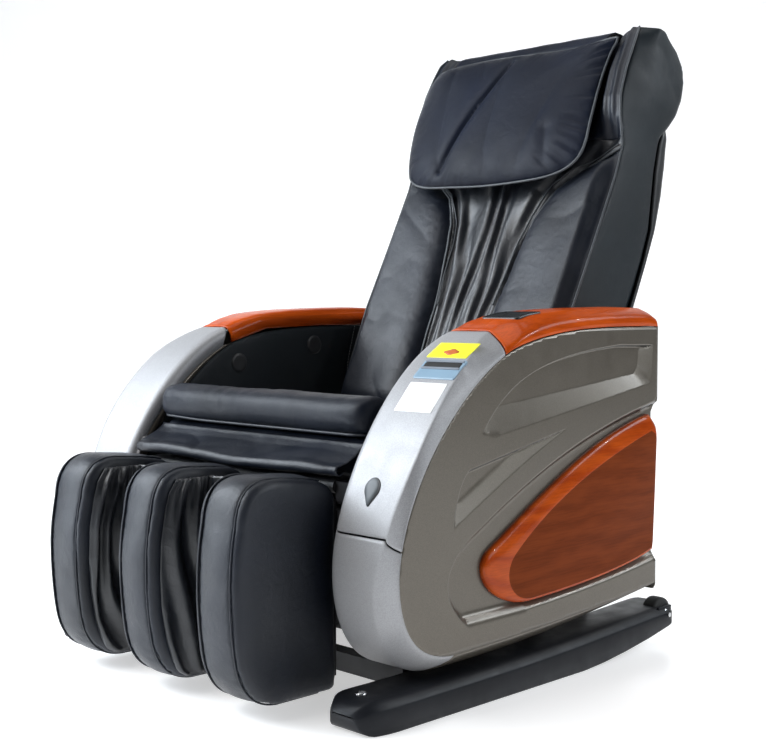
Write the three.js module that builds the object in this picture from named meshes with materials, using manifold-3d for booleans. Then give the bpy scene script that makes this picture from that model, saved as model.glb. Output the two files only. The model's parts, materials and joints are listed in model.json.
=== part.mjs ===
// A coin- and note-operated massage chair, in millimetres, +Z up, facing -Y.
// The origin is at the middle of the chair's footprint, on the floor.
// "Left" is the sitter's left, +X, where the pay arm is.
import * as THREE from 'three';
import { mergeVertices } from 'three/addons/utils/BufferGeometryUtils.js';
import Module from 'manifold-3d';

const wasm = await Module();
wasm.setup();

// Driving dimensions.
const overallWidth = 800;
const payArmWidth = 132;
const plainArmWidth = 122;
const armRear = 287;
const wall = 4;
const seam = 1;
const gap = 0.5;
const armBevel = 16;
const coverSplitHeight = 267;
const swooshDepth = 9;
const recessDepth = 6;
const runnerWidth = 100;
const tube = 30;
const frameHalfWidth = 256;
const frameFoot = 18;
const frameTop = 330;
const seatHalfWidth = 268;
const backHalfWidth = 262;
const backLean = THREE.MathUtils.degToRad(26);
const backPivot = { y: 180, z: 340 };
const legPivot = { y: -300, z: 322 };
const leverLength = 80;
const legLeverPin = { y: -296, z: legPivot.z - leverLength };
const backLeverPin = { y: 60, z: -53 };
const legActuatorFoot = { y: -148, z: 104 };
const backActuatorFoot = { y: -120, z: 250 };
const actuatorX = 92;
const pivotRadius = 6;
const pinClearance = 27;
const wheelRadius = 28;
const wheelCentre = { y: 327, z: 52 };
const padFront = -520;
const padRear = -320;
const padEdges = { outer: 248, inner: 146, centre: 48 };

// The seat, back and leg rest are centred between the two arms' inner faces.
const seatCentre = (plainArmWidth - payArmWidth) / 2;
const payArmInner = overallWidth / 2 - payArmWidth;

const finishes = {
  silver: { color: 0x8d8983, roughness: 0.35, metalness: 0.7 },
  wood: { color: 0xb5401a, roughness: 0.2, metalness: 0 },
  leather: { color: 0x20242b, roughness: 0.45, metalness: 0 },
  sideLeather: { color: 0x2b3336, roughness: 0.5, metalness: 0 },
  shell: { color: 0x14161a, roughness: 0.4, metalness: 0 },
  runner: { color: 0x1a1d24, roughness: 0.3, metalness: 0 },
  steel: { color: 0x3a3c40, roughness: 0.5, metalness: 0.6 },
  bright: { color: 0xc8ccd0, roughness: 0.2, metalness: 1 },
  rubber: { color: 0x111111, roughness: 0.8, metalness: 0 },
  grey: { color: 0x6f7479, roughness: 0.5, metalness: 0 },
  glass: { color: 0x0b0e10, roughness: 0.05, metalness: 0 },
};

const chair = new THREE.Group();

function group(parent, x = 0, y = 0, z = 0) {
  const made = new THREE.Group();
  made.position.set(x, y, z);
  parent.add(made);
  return made;
}

const fixed = group(chair);
const seatGroup = group(chair, seatCentre);
const backGroup = group(chair, seatCentre, backPivot.y, backPivot.z);
backGroup.rotation.x = -backLean;

// shape is a three.js geometry, or a solid made by join, cut or common.
function add(parent, name, shape, finish) {
  const geometry = shape.isBufferGeometry ? shape : geometryOf(shape);
  const material = new THREE.MeshStandardMaterial(finishes[finish]);
  const mesh = new THREE.Mesh(geometry, material);
  mesh.name = name;
  parent.add(mesh);
  return mesh;
}

// Geometry helpers.
function box(x0, x1, y0, y1, z0, z1) {
  const made = new THREE.BoxGeometry(x1 - x0, y1 - y0, z1 - z0);
  return made.translate((x0 + x1) / 2, (y0 + y1) / 2, (z0 + z1) / 2);
}

// A round bar along X.
function bar(radius, x0, x1, y, z, sides = 20) {
  const made = new THREE.CylinderGeometry(radius, radius, x1 - x0, sides);
  return made.rotateZ(Math.PI / 2).translate((x0 + x1) / 2, y, z);
}

// A round bar between two points that share one x.
function strut(radius, x, y0, z0, y1, z1, sides = 16) {
  const length = Math.hypot(y1 - y0, z1 - z0);
  const made = new THREE.CylinderGeometry(radius, radius, length, sides);
  made.rotateX(Math.atan2(z1 - z0, y1 - y0));
  return made.translate(x, (y0 + y1) / 2, (z0 + z1) / 2);
}

// Extrudes a side view (its x is Y and its y is Z) across the chair from x0 to x1.
// edge is the chamfer at both ends, and shrink moves the whole outline inwards.
const sideView = new THREE.Matrix4().makeBasis(
  new THREE.Vector3(0, 1, 0),
  new THREE.Vector3(0, 0, 1),
  new THREE.Vector3(1, 0, 0),
);
function across(outline, xa, xb, { edge = 0, depth = edge, shrink = 0, curve = 8, rounds = 1 } = {}) {
  const x0 = Math.min(xa, xb);
  const x1 = Math.max(xa, xb);
  const made = new THREE.ExtrudeGeometry(outline, {
    depth: x1 - x0 - 2 * depth,
    curveSegments: curve,
    bevelEnabled: edge > 0,
    bevelThickness: depth,
    bevelSize: edge,
    bevelOffset: -edge - shrink,
    bevelSegments: rounds,
  });
  return made.applyMatrix4(sideView).translate(x0 + depth, 0, 0);
}

// Extrudes a front view (x is X and y is Z) from y0 back to y1.
function through(outline, y0, y1, { edge = 0, curve = 6, rounds = 1 } = {}) {
  const made = new THREE.ExtrudeGeometry(outline, {
    depth: y1 - y0 - 2 * edge,
    curveSegments: curve,
    bevelEnabled: edge > 0,
    bevelThickness: edge,
    bevelSize: edge,
    bevelOffset: -edge,
    bevelSegments: rounds,
  });
  return made.rotateX(Math.PI / 2).translate(0, y1 - edge, 0);
}

function polygon(...points) {
  return new THREE.Shape(points.map(([x, y]) => new THREE.Vector2(x, y)));
}

function solid(shape) {
  if (!shape.isBufferGeometry) return shape;
  const plain = shape.clone();
  plain.deleteAttribute('normal');
  plain.deleteAttribute('uv');
  const merged = mergeVertices(plain, 1e-3);
  const mesh = new wasm.Mesh({
    numProp: 3,
    vertProperties: merged.attributes.position.array,
    triVerts: new Uint32Array(merged.index.array),
  });
  return new wasm.Manifold(mesh);
}

function geometryOf(manifold) {
  const mesh = manifold.getMesh();
  const made = new THREE.BufferGeometry();
  made.setAttribute('position', new THREE.BufferAttribute(mesh.vertProperties, 3));
  made.setIndex(new THREE.BufferAttribute(mesh.triVerts, 1));
  return made;
}

function join(...shapes) {
  return shapes.map(solid).reduce((sum, next) => sum.add(next));
}

function cut(shape, ...tools) {
  return tools.map(solid).reduce((rest, tool) => rest.subtract(tool), solid(shape));
}

function common(a, b) {
  return solid(a).intersect(solid(b));
}

// Outlines of an arm in the side view.
function armOutline() {
  const outline = new THREE.Shape();
  outline.moveTo(-110, 554);
  outline.bezierCurveTo(-240, 520, -368, 330, -363, 200);
  outline.bezierCurveTo(-361, 130, -330, 62, -250, 60);
  outline.quadraticCurveTo(60, 58, armRear, 104);
  outline.lineTo(armRear, 550);
  outline.quadraticCurveTo(armRear + 4, 588, 250, 588);
  outline.bezierCurveTo(120, 590, -40, 585, -110, 554);
  return outline;
}

// The space that the cap takes; drop lowers it, which leaves a seam under the cap.
function capSpace(drop = 0) {
  const outline = new THREE.Shape();
  outline.moveTo(-124 - drop, 519 - drop);
  outline.bezierCurveTo(-20, 560 - drop, 150, 558 - drop, 320, 556 - drop);
  outline.lineTo(320, 640);
  outline.lineTo(-76 - drop, 640);
  return outline;
}

// The space in front of the line where the front covers meet the side shell.
function coverSpace(shift = 0) {
  const outline = new THREE.Shape();
  outline.moveTo(-124 + shift, 519);
  outline.bezierCurveTo(-225 + shift, 472, -345 + shift, 340, -350 + shift, 215);
  outline.bezierCurveTo(-350 + shift, 140, -320 + shift, 92, -240 + shift, 88);
  outline.lineTo(-240 + shift, 20);
  outline.lineTo(-460, 20);
  outline.lineTo(-460, 640);
  outline.lineTo(-76 + shift, 640);
  return outline;
}

// The opening in an arm's inner side, which the upholstered panel fills.
function panelOutline() {
  const outline = new THREE.Shape();
  outline.moveTo(-104, 524);
  outline.bezierCurveTo(-200, 486, -330, 330, -334, 200);
  outline.bezierCurveTo(-330, 140, -300, 96, -222, 93);
  outline.quadraticCurveTo(60, 86, 264, 128);
  outline.lineTo(264, 552);
  outline.bezierCurveTo(150, 555, -20, 556, -104, 524);
  return outline;
}

function upperRecess() {
  const outline = new THREE.Shape();
  outline.moveTo(-176, 406);
  outline.bezierCurveTo(-120, 480, -40, 515, 169, 528);
  outline.lineTo(272, 526);
  outline.lineTo(262, 462);
  outline.quadraticCurveTo(60, 430, -137, 400);
  return outline;
}

function lowerRecess() {
  const outline = new THREE.Shape();
  outline.moveTo(-241, 270);
  outline.quadraticCurveTo(-232, 335, -205, 354);
  outline.lineTo(29, 400);
  outline.quadraticCurveTo(-60, 365, -137, 325);
  outline.lineTo(-226, 279);
  return outline;
}

function swoosh() {
  const outline = new THREE.Shape();
  outline.moveTo(-212, 126);
  outline.bezierCurveTo(-268, 165, -275, 222, -182, 266);
  outline.bezierCurveTo(-60, 335, 90, 400, 300, 436);
  outline.lineTo(300, 160);
  outline.quadraticCurveTo(118, 133, -88, 126);
  return outline;
}

function insertOutline() {
  const outline = new THREE.Shape();
  outline.moveTo(-64, 138);
  outline.bezierCurveTo(-150, 138, -200, 205, -148, 232);
  outline.bezierCurveTo(-40, 290, 100, 380, 262, 408);
  outline.lineTo(282, 390);
  outline.lineTo(272, 174);
  outline.bezierCurveTo(200, 152, 40, 140, -64, 138);
  return outline;
}

// One arm: a thin outer shell with its top cap, front covers, side insert and inner panel.
function buildArm(side, width, word) {
  const inner = (side * overallWidth) / 2 - side * width;
  const at = (distance) => inner + side * distance;
  const whole = across(armOutline(), at(0), at(width), { edge: armBevel, curve: 10 });
  const hollow = join(
    across(armOutline(), at(wall), at(width - wall), { edge: armBevel, shrink: wall, curve: 10 }),
    across(panelOutline(), at(-1), at(wall + 1)),
  );
  const far = 10;
  const cap = cut(common(whole, across(capSpace(), at(-far), at(width + far))), hollow);
  const body = cut(whole, across(capSpace(seam), at(-far), at(width + far)));
  const covers = common(body, across(coverSpace(), at(-far), at(width + far)));
  const slab = (z0, z1) => box(-500, 500, -500, 0, z0, z1);
  const upperCover = cut(common(covers, slab(coverSplitHeight + seam, 700)), hollow);
  const lowerCover = cut(common(covers, slab(0, coverSplitHeight)), hollow);

  // The recesses are pressed into the side, so each has its own floor and walls behind the side.
  const floor = (outline, depth) => across(outline, at(width - depth - wall), at(width - wall / 2),
    { edge: 1, shrink: -5 });
  const pocket = (outline, depth) => across(outline, at(width - depth), at(width + 1));
  const floors = [
    floor(upperRecess(), recessDepth),
    floor(lowerRecess(), recessDepth),
    floor(swoosh(), swooshDepth),
  ].map((one) => common(one, body));
  const shell = cut(
    join(cut(body, hollow), ...floors),
    across(coverSpace(seam), at(-far), at(width + far)),
    pocket(upperRecess(), recessDepth),
    pocket(lowerRecess(), recessDepth),
    pocket(swoosh(), swooshDepth),
  );
  const insert = across(insertOutline(), at(width - swooshDepth + gap), at(width - 1.5), { edge: 3 });
  const panel = across(panelOutline(), at(-2), at(8), { edge: 2, shrink: gap, curve: 8 });
  add(fixed, `arm_shell_${word}`, shell, 'silver');
  add(fixed, `side_insert_${word}`, insert, 'wood');
  add(fixed, `arm_inner_panel_${word}`, panel, 'leather');
  return { cap, upperCover, lowerCover, at };
}

// The face of the front cover slopes at 45 degrees where the note slot is.
const slotPlace = { x: payArmInner + 56, y: -216, z: 493 };
function onSlope(geometry) {
  return geometry.rotateX(-Math.PI / 4).translate(slotPlace.x, slotPlace.y, slotPlace.z);
}
const lockPlace = { x: payArmInner + 58, y: -340, z: 326 };
const lockTilt = THREE.MathUtils.degToRad(-24);
function onLock(geometry) {
  return geometry.rotateX(lockTilt).translate(lockPlace.x, lockPlace.y, lockPlace.z);
}
const displayPlace = { x0: payArmInner + 34, x1: payArmInner + 92, y0: -56, y1: 8, tilt: 0.2, z: 573 };
function onCap(x0, x1, y0, y1, z0, z1) {
  const middle = (displayPlace.y0 + displayPlace.y1) / 2;
  return box(x0, x1, y0 - middle, y1 - middle, z0, z1)
    .rotateX(displayPlace.tilt)
    .translate(0, middle, displayPlace.z);
}

function buildPayArm() {
  const arm = buildArm(1, payArmWidth, 'left');
  const { x0, x1, y0, y1 } = displayPlace;
  const display = onCap(x0, x1, y0, y1, -9, -1.5);
  const displayHole = onCap(x0 - gap, x1 + gap, y0 - gap, y1 + gap, -14, 12);
  add(fixed, 'arm_cap_left', cut(arm.cap, displayHole), 'wood');
  add(fixed, 'display_window', display, 'glass');
  add(fixed, 'lower_cover_left', arm.lowerCover, 'silver');

  const slotHalf = 36;
  const bezel = cut(
    onSlope(box(-slotHalf - 7, slotHalf + 7, -9, 3, -19, 19)),
    onSlope(box(-slotHalf, slotHalf, -12, 5, 2, 7)),
  );
  const bezelHole = onSlope(box(-slotHalf - 7 - gap, slotHalf + 7 + gap, -30, 30, -19 - gap, 19 + gap));
  const lockHole = onLock(new THREE.CylinderGeometry(9 + gap, 9 + gap, 60, 20));
  add(fixed, 'front_door_left', cut(arm.upperCover, bezelHole, lockHole), 'silver');
  add(fixed, 'bill_bezel', bezel, 'grey');
  const validator = onSlope(box(-slotHalf - 4, slotHalf + 4, 14, 74, -42, 15));
  add(fixed, 'bill_validator', validator, 'shell');
  const escutcheonHole = onLock(new THREE.CylinderGeometry(6.5, 6.5, 60, 20));
  const escutcheon = onLock(new THREE.CylinderGeometry(9, 9, 14, 24));
  add(fixed, 'lock_escutcheon', cut(escutcheon, escutcheonHole), 'grey');
  add(fixed, 'lock_barrel', onLock(new THREE.CylinderGeometry(6, 6, 22, 20)), 'bright');
  const cashBox = cut(
    box(payArmInner + 26, payArmInner + 106, -240, -60, 130, 330),
    box(payArmInner + 29, payArmInner + 103, -237, -63, 133, 331),
  );
  add(fixed, 'cash_box', cashBox, 'steel');
}

function buildPlainArm() {
  const arm = buildArm(-1, plainArmWidth, 'right');
  add(fixed, 'arm_cap_right', arm.cap, 'wood');
  add(fixed, 'front_cover_right', arm.upperCover, 'silver');
  add(fixed, 'lower_cover_right', arm.lowerCover, 'silver');
}

// The runners: flat on the floor at the front and raised at the tail, where a wheel sits.
function buildRunner(side, word) {
  const outer = side * 398;
  const inner = outer - side * runnerWidth;
  const outline = new THREE.Shape();
  outline.moveTo(-392, 0);
  outline.quadraticCurveTo(-412, 6, -412, 30);
  outline.quadraticCurveTo(-410, 46, -396, 48);
  outline.lineTo(-181, 49);
  outline.quadraticCurveTo(60, 58, 300, 66);
  outline.lineTo(345, 68);
  outline.lineTo(345, 34);
  outline.quadraticCurveTo(200, 12, 85, 0);
  const body = across(outline, inner, outer, { edge: 5, curve: 6 });
  const wheelInner = outer - side * 42;
  const wheelOuter = outer - side * 14;
  const slot = across(
    polygon([298, -10], [400, -10], [400, 110], [298, 110]),
    wheelInner - side * 2,
    wheelOuter + side * 2,
  );
  const axleHole = bar(4.2, Math.min(inner, outer) - 5, Math.max(inner, outer) + 5,
    wheelCentre.y, wheelCentre.z);
  add(fixed, `runner_${word}`, cut(body, slot, axleHole), 'runner');
  const wheel = cut(
    bar(wheelRadius, Math.min(wheelInner, wheelOuter), Math.max(wheelInner, wheelOuter),
      wheelCentre.y, wheelCentre.z, 32),
    bar(4.2, -500, 500, wheelCentre.y, wheelCentre.z),
  );
  add(fixed, `transport_wheel_${word}`, wheel, 'rubber');
  const axleEnds = [outer - side * 56, outer + side * 1.5].sort((a, b) => a - b);
  add(fixed, `wheel_axle_${word}`, bar(4, ...axleEnds, wheelCentre.y, wheelCentre.z), 'bright');
}

// The welded tube frame under the seat. Its feet reach the runners' inner sides.
function buildBaseFrame() {
  const half = frameHalfWidth;
  const foot = 398 - runnerWidth - gap;
  const parts = [];
  for (const y of [-240, 120]) {
    parts.push(box(-foot - seatCentre, foot - seatCentre, y, y + tube, frameFoot, frameFoot + tube));
  }
  for (const y of [-240, 40]) {
    parts.push(box(-half, half, y, y + tube, frameTop - tube, frameTop));
  }
  for (const end of [legActuatorFoot, backActuatorFoot]) {
    parts.push(bar(pivotRadius, 14 - half, half - 14, end.y, end.z, 12));
  }
  for (const x of [-half, half - tube]) {
    parts.push(box(x + 8, x + 22, backActuatorFoot.y - 12, backActuatorFoot.y + 12, 240, frameTop));
    parts.push(box(x + 8, x + 22, legActuatorFoot.y - 12, legActuatorFoot.y + 12, frameFoot, 116));
  }
  parts.push(box(-half, half, -135, 100, frameFoot + tube - 1, frameFoot + tube + 3));
  for (const x of [-half, half - tube]) {
    parts.push(box(x, x + tube, -305, 195, frameTop - tube, frameTop));
    parts.push(box(x, x + tube, -240, 150, frameFoot, frameFoot + tube));
    for (const y of [-240, 120]) {
      parts.push(box(x, x + tube, y, y + tube, frameFoot, frameTop));
    }
  }
  add(seatGroup, 'base_frame', join(...parts), 'steel');
}

function buildSeat() {
  const cushion = new THREE.Shape();
  cushion.moveTo(-268, 332);
  cushion.lineTo(-270, 388);
  cushion.lineTo(-206, 390);
  cushion.quadraticCurveTo(-196, 420, -150, 422);
  cushion.quadraticCurveTo(0, 424, 100, 408);
  cushion.quadraticCurveTo(118, 402, 118, 380);
  cushion.lineTo(118, 332);
  add(seatGroup, 'seat_cushion',
    across(cushion, 6 - seatHalfWidth, seatHalfWidth - 6, { edge: 8, curve: 5 }), 'leather');
  const roll = new THREE.Shape();
  roll.absellipse(-246, 425, 40, 32, 0, 2 * Math.PI);
  add(seatGroup, 'thigh_roll',
    across(roll, 6 - seatHalfWidth, seatHalfWidth - 6, { edge: 12, curve: 9, rounds: 2 }), 'leather');
  const flap = polygon([-272, 386], [-276, 388], [-312, 372], [-332, 354], [-328, 351], [-310, 367]);
  add(seatGroup, 'seat_flap', across(flap, -238, 238), 'leather');
}

// The leg rest turns about legPivot, on a tube between the frame's side rails.
function buildLegRest() {
  const plate = box(-236, 236, padRear + 1, padRear + 6, 40, 305);
  const pivotTube = bar(11, -frameHalfWidth + tube + gap, frameHalfWidth - tube - gap,
    legPivot.y, legPivot.z);
  const hangers = [-150, 150].map((x) => box(x - 8, x + 8, padRear + 2, legPivot.y, 280, 326));
  const lever = box(-actuatorX - 6, -actuatorX + 6, padRear + 3, -289, legLeverPin.z - 8, 300);
  const pin = bar(5, -actuatorX - 14, -actuatorX + 14, legLeverPin.y, legLeverPin.z);
  add(seatGroup, 'legrest_frame', join(plate, pivotTube, ...hangers, lever, pin), 'steel');

  const pad = new THREE.Shape();
  pad.moveTo(padRear, 20);
  pad.lineTo(-430, 20);
  pad.quadraticCurveTo(-500, 26, -512, 90);
  pad.quadraticCurveTo(padFront - 6, 190, -506, 285);
  pad.quadraticCurveTo(-500, 350, -440, 348);
  pad.lineTo(-360, 342);
  pad.quadraticCurveTo(padRear, 336, padRear, 306);
  const { outer, inner, centre } = padEdges;
  const spans = [['left', inner, outer], ['centre', -centre, centre], ['right', -outer, -inner]];
  for (const [word, x0, x1] of spans) {
    add(seatGroup, `calf_pad_${word}`, across(pad, x0, x1, { edge: 14, curve: 5, rounds: 2 }), 'leather');
  }
  const liner = new THREE.Shape();
  liner.moveTo(padRear, 30);
  liner.lineTo(-400, 30);
  liner.quadraticCurveTo(-412, 180, -400, 300);
  liner.quadraticCurveTo(-380, 326, padRear, 306);
  for (const [word, x0, x1] of [['left', centre, inner], ['right', -inner, -centre]]) {
    add(seatGroup, `calf_liner_${word}`, across(liner, x0 + 2, x1 - 2, { edge: 5, curve: 5 }), 'leather');
  }
}

// The back, in its own upright frame: y is its depth, z runs up it, and the pivot is at 0, 0.
function buildBack() {
  const rail = 24;
  const railX = 120;
  const railTop = 600;
  const parts = [
    bar(12, -frameHalfWidth + tube + gap, frameHalfWidth - tube - gap, 0, 0),
    box(-200, 200, 18, 18 + rail, railTop, railTop + rail),
    box(-200, 200, 18, 18 + rail, 60, 60 + rail),
  ];
  for (const x of [-railX, railX]) {
    parts.push(box(x - rail / 2, x + rail / 2, 18, 18 + rail, 60, railTop + rail));
  }
  for (const x of [-188, 188]) {
    parts.push(box(x - 12, x + 12, -10, 42, 0, 84));
  }
  parts.push(strut(7, actuatorX, 0, 0, backLeverPin.y, backLeverPin.z));
  parts.push(bar(5, actuatorX - 14, actuatorX + 14, backLeverPin.y, backLeverPin.z));
  add(backGroup, 'back_frame', join(...parts), 'steel');

  const sideOutline = new THREE.Shape();
  sideOutline.moveTo(-16, 30);
  sideOutline.lineTo(86, 30);
  sideOutline.lineTo(94, 360);
  sideOutline.quadraticCurveTo(92, 500, 36, 640);
  sideOutline.lineTo(-16, 640);
  const shellOutline = new THREE.Shape();
  shellOutline.moveTo(88, 30);
  shellOutline.lineTo(100, 30);
  shellOutline.quadraticCurveTo(112, 250, 111, 440);
  shellOutline.quadraticCurveTo(106, 560, 62, 690);
  shellOutline.lineTo(38, 690);
  shellOutline.lineTo(38, 641);
  shellOutline.quadraticCurveTo(94, 501, 96, 360);
  add(backGroup, 'back_shell', across(shellOutline, -backHalfWidth, backHalfWidth, { edge: 3 }), 'shell');
  for (const [word, side] of [['left', 1], ['right', -1]]) {
    add(backGroup, `back_side_${word}`,
      across(sideOutline, side * 212, side * backHalfWidth, { edge: 4 }), 'sideLeather');
  }

  const padHalf = 64;
  const pad = new THREE.Shape();
  pad.moveTo(-padHalf, 26);
  pad.lineTo(padHalf, 26);
  pad.lineTo(padHalf, 380);
  pad.bezierCurveTo(74, 470, 110, 530, 190, 568);
  pad.lineTo(-190, 568);
  pad.bezierCurveTo(-110, 530, -74, 470, -padHalf, 380);
  add(backGroup, 'back_pad', through(pad, -62, -34, { edge: 6 }), 'leather');
  const bolster = new THREE.Shape();
  bolster.moveTo(padHalf + 1, 26);
  bolster.lineTo(backHalfWidth, 26);
  bolster.lineTo(backHalfWidth, 568);
  bolster.lineTo(192, 568);
  bolster.bezierCurveTo(111, 530, 75, 470, padHalf + 1, 380);
  for (const [word, side] of [['left', 1], ['right', -1]]) {
    const made = add(backGroup, `bolster_${word}`, through(bolster, -78, -17, { edge: 10, rounds: 2 }),
      'leather');
    made.scale.x = side;
  }
  const hood = new THREE.Shape();
  hood.moveTo(-66, 570);
  hood.lineTo(-17, 570);
  hood.lineTo(-17, 692);
  hood.lineTo(60, 692);
  hood.quadraticCurveTo(70, 780, 46, 802);
  hood.quadraticCurveTo(20, 822, -40, 816);
  hood.lineTo(-72, 806);
  add(backGroup, 'back_hood', across(hood, -backHalfWidth, backHalfWidth, { edge: 12, curve: 5 }),
    'leather');
}

// The head pillow hangs from the hood's top edge and flips back over it.
function buildPillow() {
  const outline = new THREE.Shape();
  outline.moveTo(-82, 474);
  outline.lineTo(-100, 474);
  outline.quadraticCurveTo(-124, 478, -126, 520);
  outline.lineTo(-138, 740);
  outline.quadraticCurveTo(-138, 796, -108, 806);
  outline.lineTo(-82, 806);
  add(backGroup, 'head_pillow', across(outline, -210, 210, { edge: 6, curve: 5 }), 'leather');
}

// The massage carriage runs on the back's rails; its two arms rock and carry rollers.
function buildMassageUnit() {
  const restHeight = 300;
  const shaftDepth = 16;
  const rollerDepth = 10;
  const rollerRise = 52;
  const plate = box(-145, 145, 46, 56, restHeight - 70, restHeight + 70);
  const guides = [-142, 134].map((x) => box(x, x + 8, 16, 50, restHeight - 60, restHeight + 60));
  const ears = [-16, 6].map((x) => box(x, x + 10, 8, 50, restHeight - 14, restHeight + 14));
  const shaft = bar(6, -66, 66, shaftDepth, restHeight);
  add(backGroup, 'massage_carriage', join(plate, ...guides, ...ears, shaft), 'steel');
  add(backGroup, 'massage_motor', box(-20, 20, 22, 45.5, restHeight - 64, restHeight - 18), 'bright');
  for (const [word, x] of [['left', 48], ['right', -48]]) {
    const hub = bar(13, x - 9, x + 9, shaftDepth, restHeight);
    const plates = box(x - 5, x + 5, shaftDepth - 8, shaftDepth + 4,
      restHeight - rollerRise - 6, restHeight + rollerRise + 6);
    const pins = [rollerRise, -rollerRise].map((rise) => (
      bar(3, Math.min(x, x / 2) - 1, Math.max(x, x / 2) + 1, rollerDepth, restHeight + rise, 12)));
    const bore = bar(6.1, x - 20, x + 20, shaftDepth, restHeight, 24);
    add(backGroup, `kneading_arm_${word}`, cut(join(hub, plates, ...pins), bore), 'steel');
    const rollerEnds = x > 0 ? [x - 22, x - 6] : [x + 6, x + 22];
    for (const [place, rise] of [['upper', rollerRise], ['lower', -rollerRise]]) {
      const roller = cut(
        bar(24, ...rollerEnds, rollerDepth, restHeight + rise, 28),
        bar(3.1, x - 30, x + 30, rollerDepth, restHeight + rise, 12),
      );
      add(backGroup, `roller_${place}_${word}`, roller, 'grey');
    }
  }
}

// A linear actuator in its own frame: the foot's bore is at 0, 0 and the rod slides out along Z.
function buildActuator(name, x, foot, end, bodyLength, rodStart, boreStart) {
  const reach = Math.hypot(end.y - foot.y, end.z - foot.z);
  const place = group(seatGroup, x, foot.y, foot.z);
  place.rotation.x = -Math.atan2(end.y - foot.y, end.z - foot.z);
  const alongZ = (radius, z0, z1, sides) => (
    new THREE.CylinderGeometry(radius, radius, z1 - z0, sides)
      .rotateX(Math.PI / 2).translate(0, 0, (z0 + z1) / 2));
  const body = cut(
    join(alongZ(17, 0, bodyLength, 20), bar(17, -24, 24, 0, 0, 20)),
    bar(pivotRadius + 0.3, -40, 40, 0, 0),
    alongZ(7.8, boreStart, bodyLength + 1, 20),
  );
  add(place, `${name}_body`, body, 'shell');
  add(place, `${name}_rod`, alongZ(7, rodStart, reach - pinClearance, 16), 'bright');
}

// Motors, pump and electrics under the seat.
function buildUnderSeat() {
  add(seatGroup, 'air_pump', box(-215, -125, -120, 20, 52, 150), 'shell');
  add(seatGroup, 'control_box', box(130, 215, -130, 60, 52, 120), 'grey');
  buildActuator('leg_actuator', -actuatorX, legActuatorFoot, legLeverPin, 140, 24, 22);
  const lean = (point) => ({
    y: backPivot.y + point.y * Math.cos(backLean) + point.z * Math.sin(backLean),
    z: backPivot.z - point.y * Math.sin(backLean) + point.z * Math.cos(backLean),
  });
  buildActuator('back_actuator', actuatorX, backActuatorFoot, lean(backLeverPin), 200, 90, 27);
}

function buildRearCover() {
  const y0 = 262;
  const y1 = 268;
  const cover = box(-270, 262, y0, y1, 70, 215);
  const inlet = { x: -200, z: 110 };
  const rocker = { x: -150, z: 110 };
  const holes = [
    box(inlet.x - 14, inlet.x + 14, 250, 280, inlet.z - 10, inlet.z + 10),
    box(rocker.x - 7, rocker.x + 7, 250, 280, rocker.z - 11, rocker.z + 11),
  ];
  add(fixed, 'rear_cover', cut(cover, ...holes), 'shell');
  const inletBody = box(inlet.x - 13.5, inlet.x + 13.5, 240, 270, inlet.z - 9.5, inlet.z + 9.5);
  const socket = box(inlet.x - 10, inlet.x + 10, 255, 271, inlet.z - 6, inlet.z + 6);
  add(fixed, 'power_inlet', cut(inletBody, socket), 'shell');
  const rockerBody = new THREE.CylinderGeometry(13, 13, 11, 24).rotateZ(Math.PI / 2);
  rockerBody.translate(rocker.x, y1 - 9, rocker.z);
  const half = box(rocker.x - 5.5, rocker.x + 5.5, 258, 272, rocker.z - 9, rocker.z + 9);
  add(fixed, 'power_switch', common(rockerBody, half), 'rubber');
}

buildPayArm();
buildPlainArm();
buildRunner(1, 'left');
buildRunner(-1, 'right');
buildBaseFrame();
buildSeat();
buildLegRest();
buildBack();
buildPillow();
buildMassageUnit();
buildUnderSeat();
buildRearCover();

// The origin goes under the middle of the finished chair.
const bounds = new THREE.Box3().setFromObject(chair, true);
const middle = (bounds.min.y + bounds.max.y) / 2;
for (const part of chair.children) part.position.y -= middle;

export default chair;
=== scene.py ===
"""A massage chair with a pay arm: the looks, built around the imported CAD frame.

Places are given in millimetres in the chair's drawing frame: x to the sitter's left, y back
from a line through the arms, z up from the floor. The back's own frame has v (depth) and w
(up the back) from its hinge.
"""
import json
import math

import bpy
import numpy as np
from mathutils import Matrix, Vector, noise
from mathutils.geometry import delaunay_2d_cdt

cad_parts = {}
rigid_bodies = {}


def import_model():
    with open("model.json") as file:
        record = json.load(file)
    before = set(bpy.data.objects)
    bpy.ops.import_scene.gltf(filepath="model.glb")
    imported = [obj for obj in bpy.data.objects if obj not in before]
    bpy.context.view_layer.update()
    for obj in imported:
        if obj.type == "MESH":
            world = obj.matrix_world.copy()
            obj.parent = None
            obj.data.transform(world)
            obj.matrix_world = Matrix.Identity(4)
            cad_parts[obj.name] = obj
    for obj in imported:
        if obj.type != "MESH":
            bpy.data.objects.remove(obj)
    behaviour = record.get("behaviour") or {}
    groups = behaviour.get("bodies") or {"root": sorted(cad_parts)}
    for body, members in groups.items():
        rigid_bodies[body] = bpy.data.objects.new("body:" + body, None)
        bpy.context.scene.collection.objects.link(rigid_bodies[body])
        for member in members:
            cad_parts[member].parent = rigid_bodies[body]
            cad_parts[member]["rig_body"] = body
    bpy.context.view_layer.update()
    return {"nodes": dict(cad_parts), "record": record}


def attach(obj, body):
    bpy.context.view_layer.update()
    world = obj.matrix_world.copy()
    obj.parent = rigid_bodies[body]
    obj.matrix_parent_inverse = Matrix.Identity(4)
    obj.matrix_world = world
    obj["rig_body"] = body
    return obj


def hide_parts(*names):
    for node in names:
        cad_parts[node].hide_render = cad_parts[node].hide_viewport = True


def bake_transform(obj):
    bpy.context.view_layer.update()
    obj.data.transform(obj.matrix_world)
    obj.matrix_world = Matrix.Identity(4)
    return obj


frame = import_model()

MM = 0.001
JOINTS = {joint["name"]: joint for joint in frame["record"]["behaviour"]["joints"]}
BACK_LEAN = math.radians(26)
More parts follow.
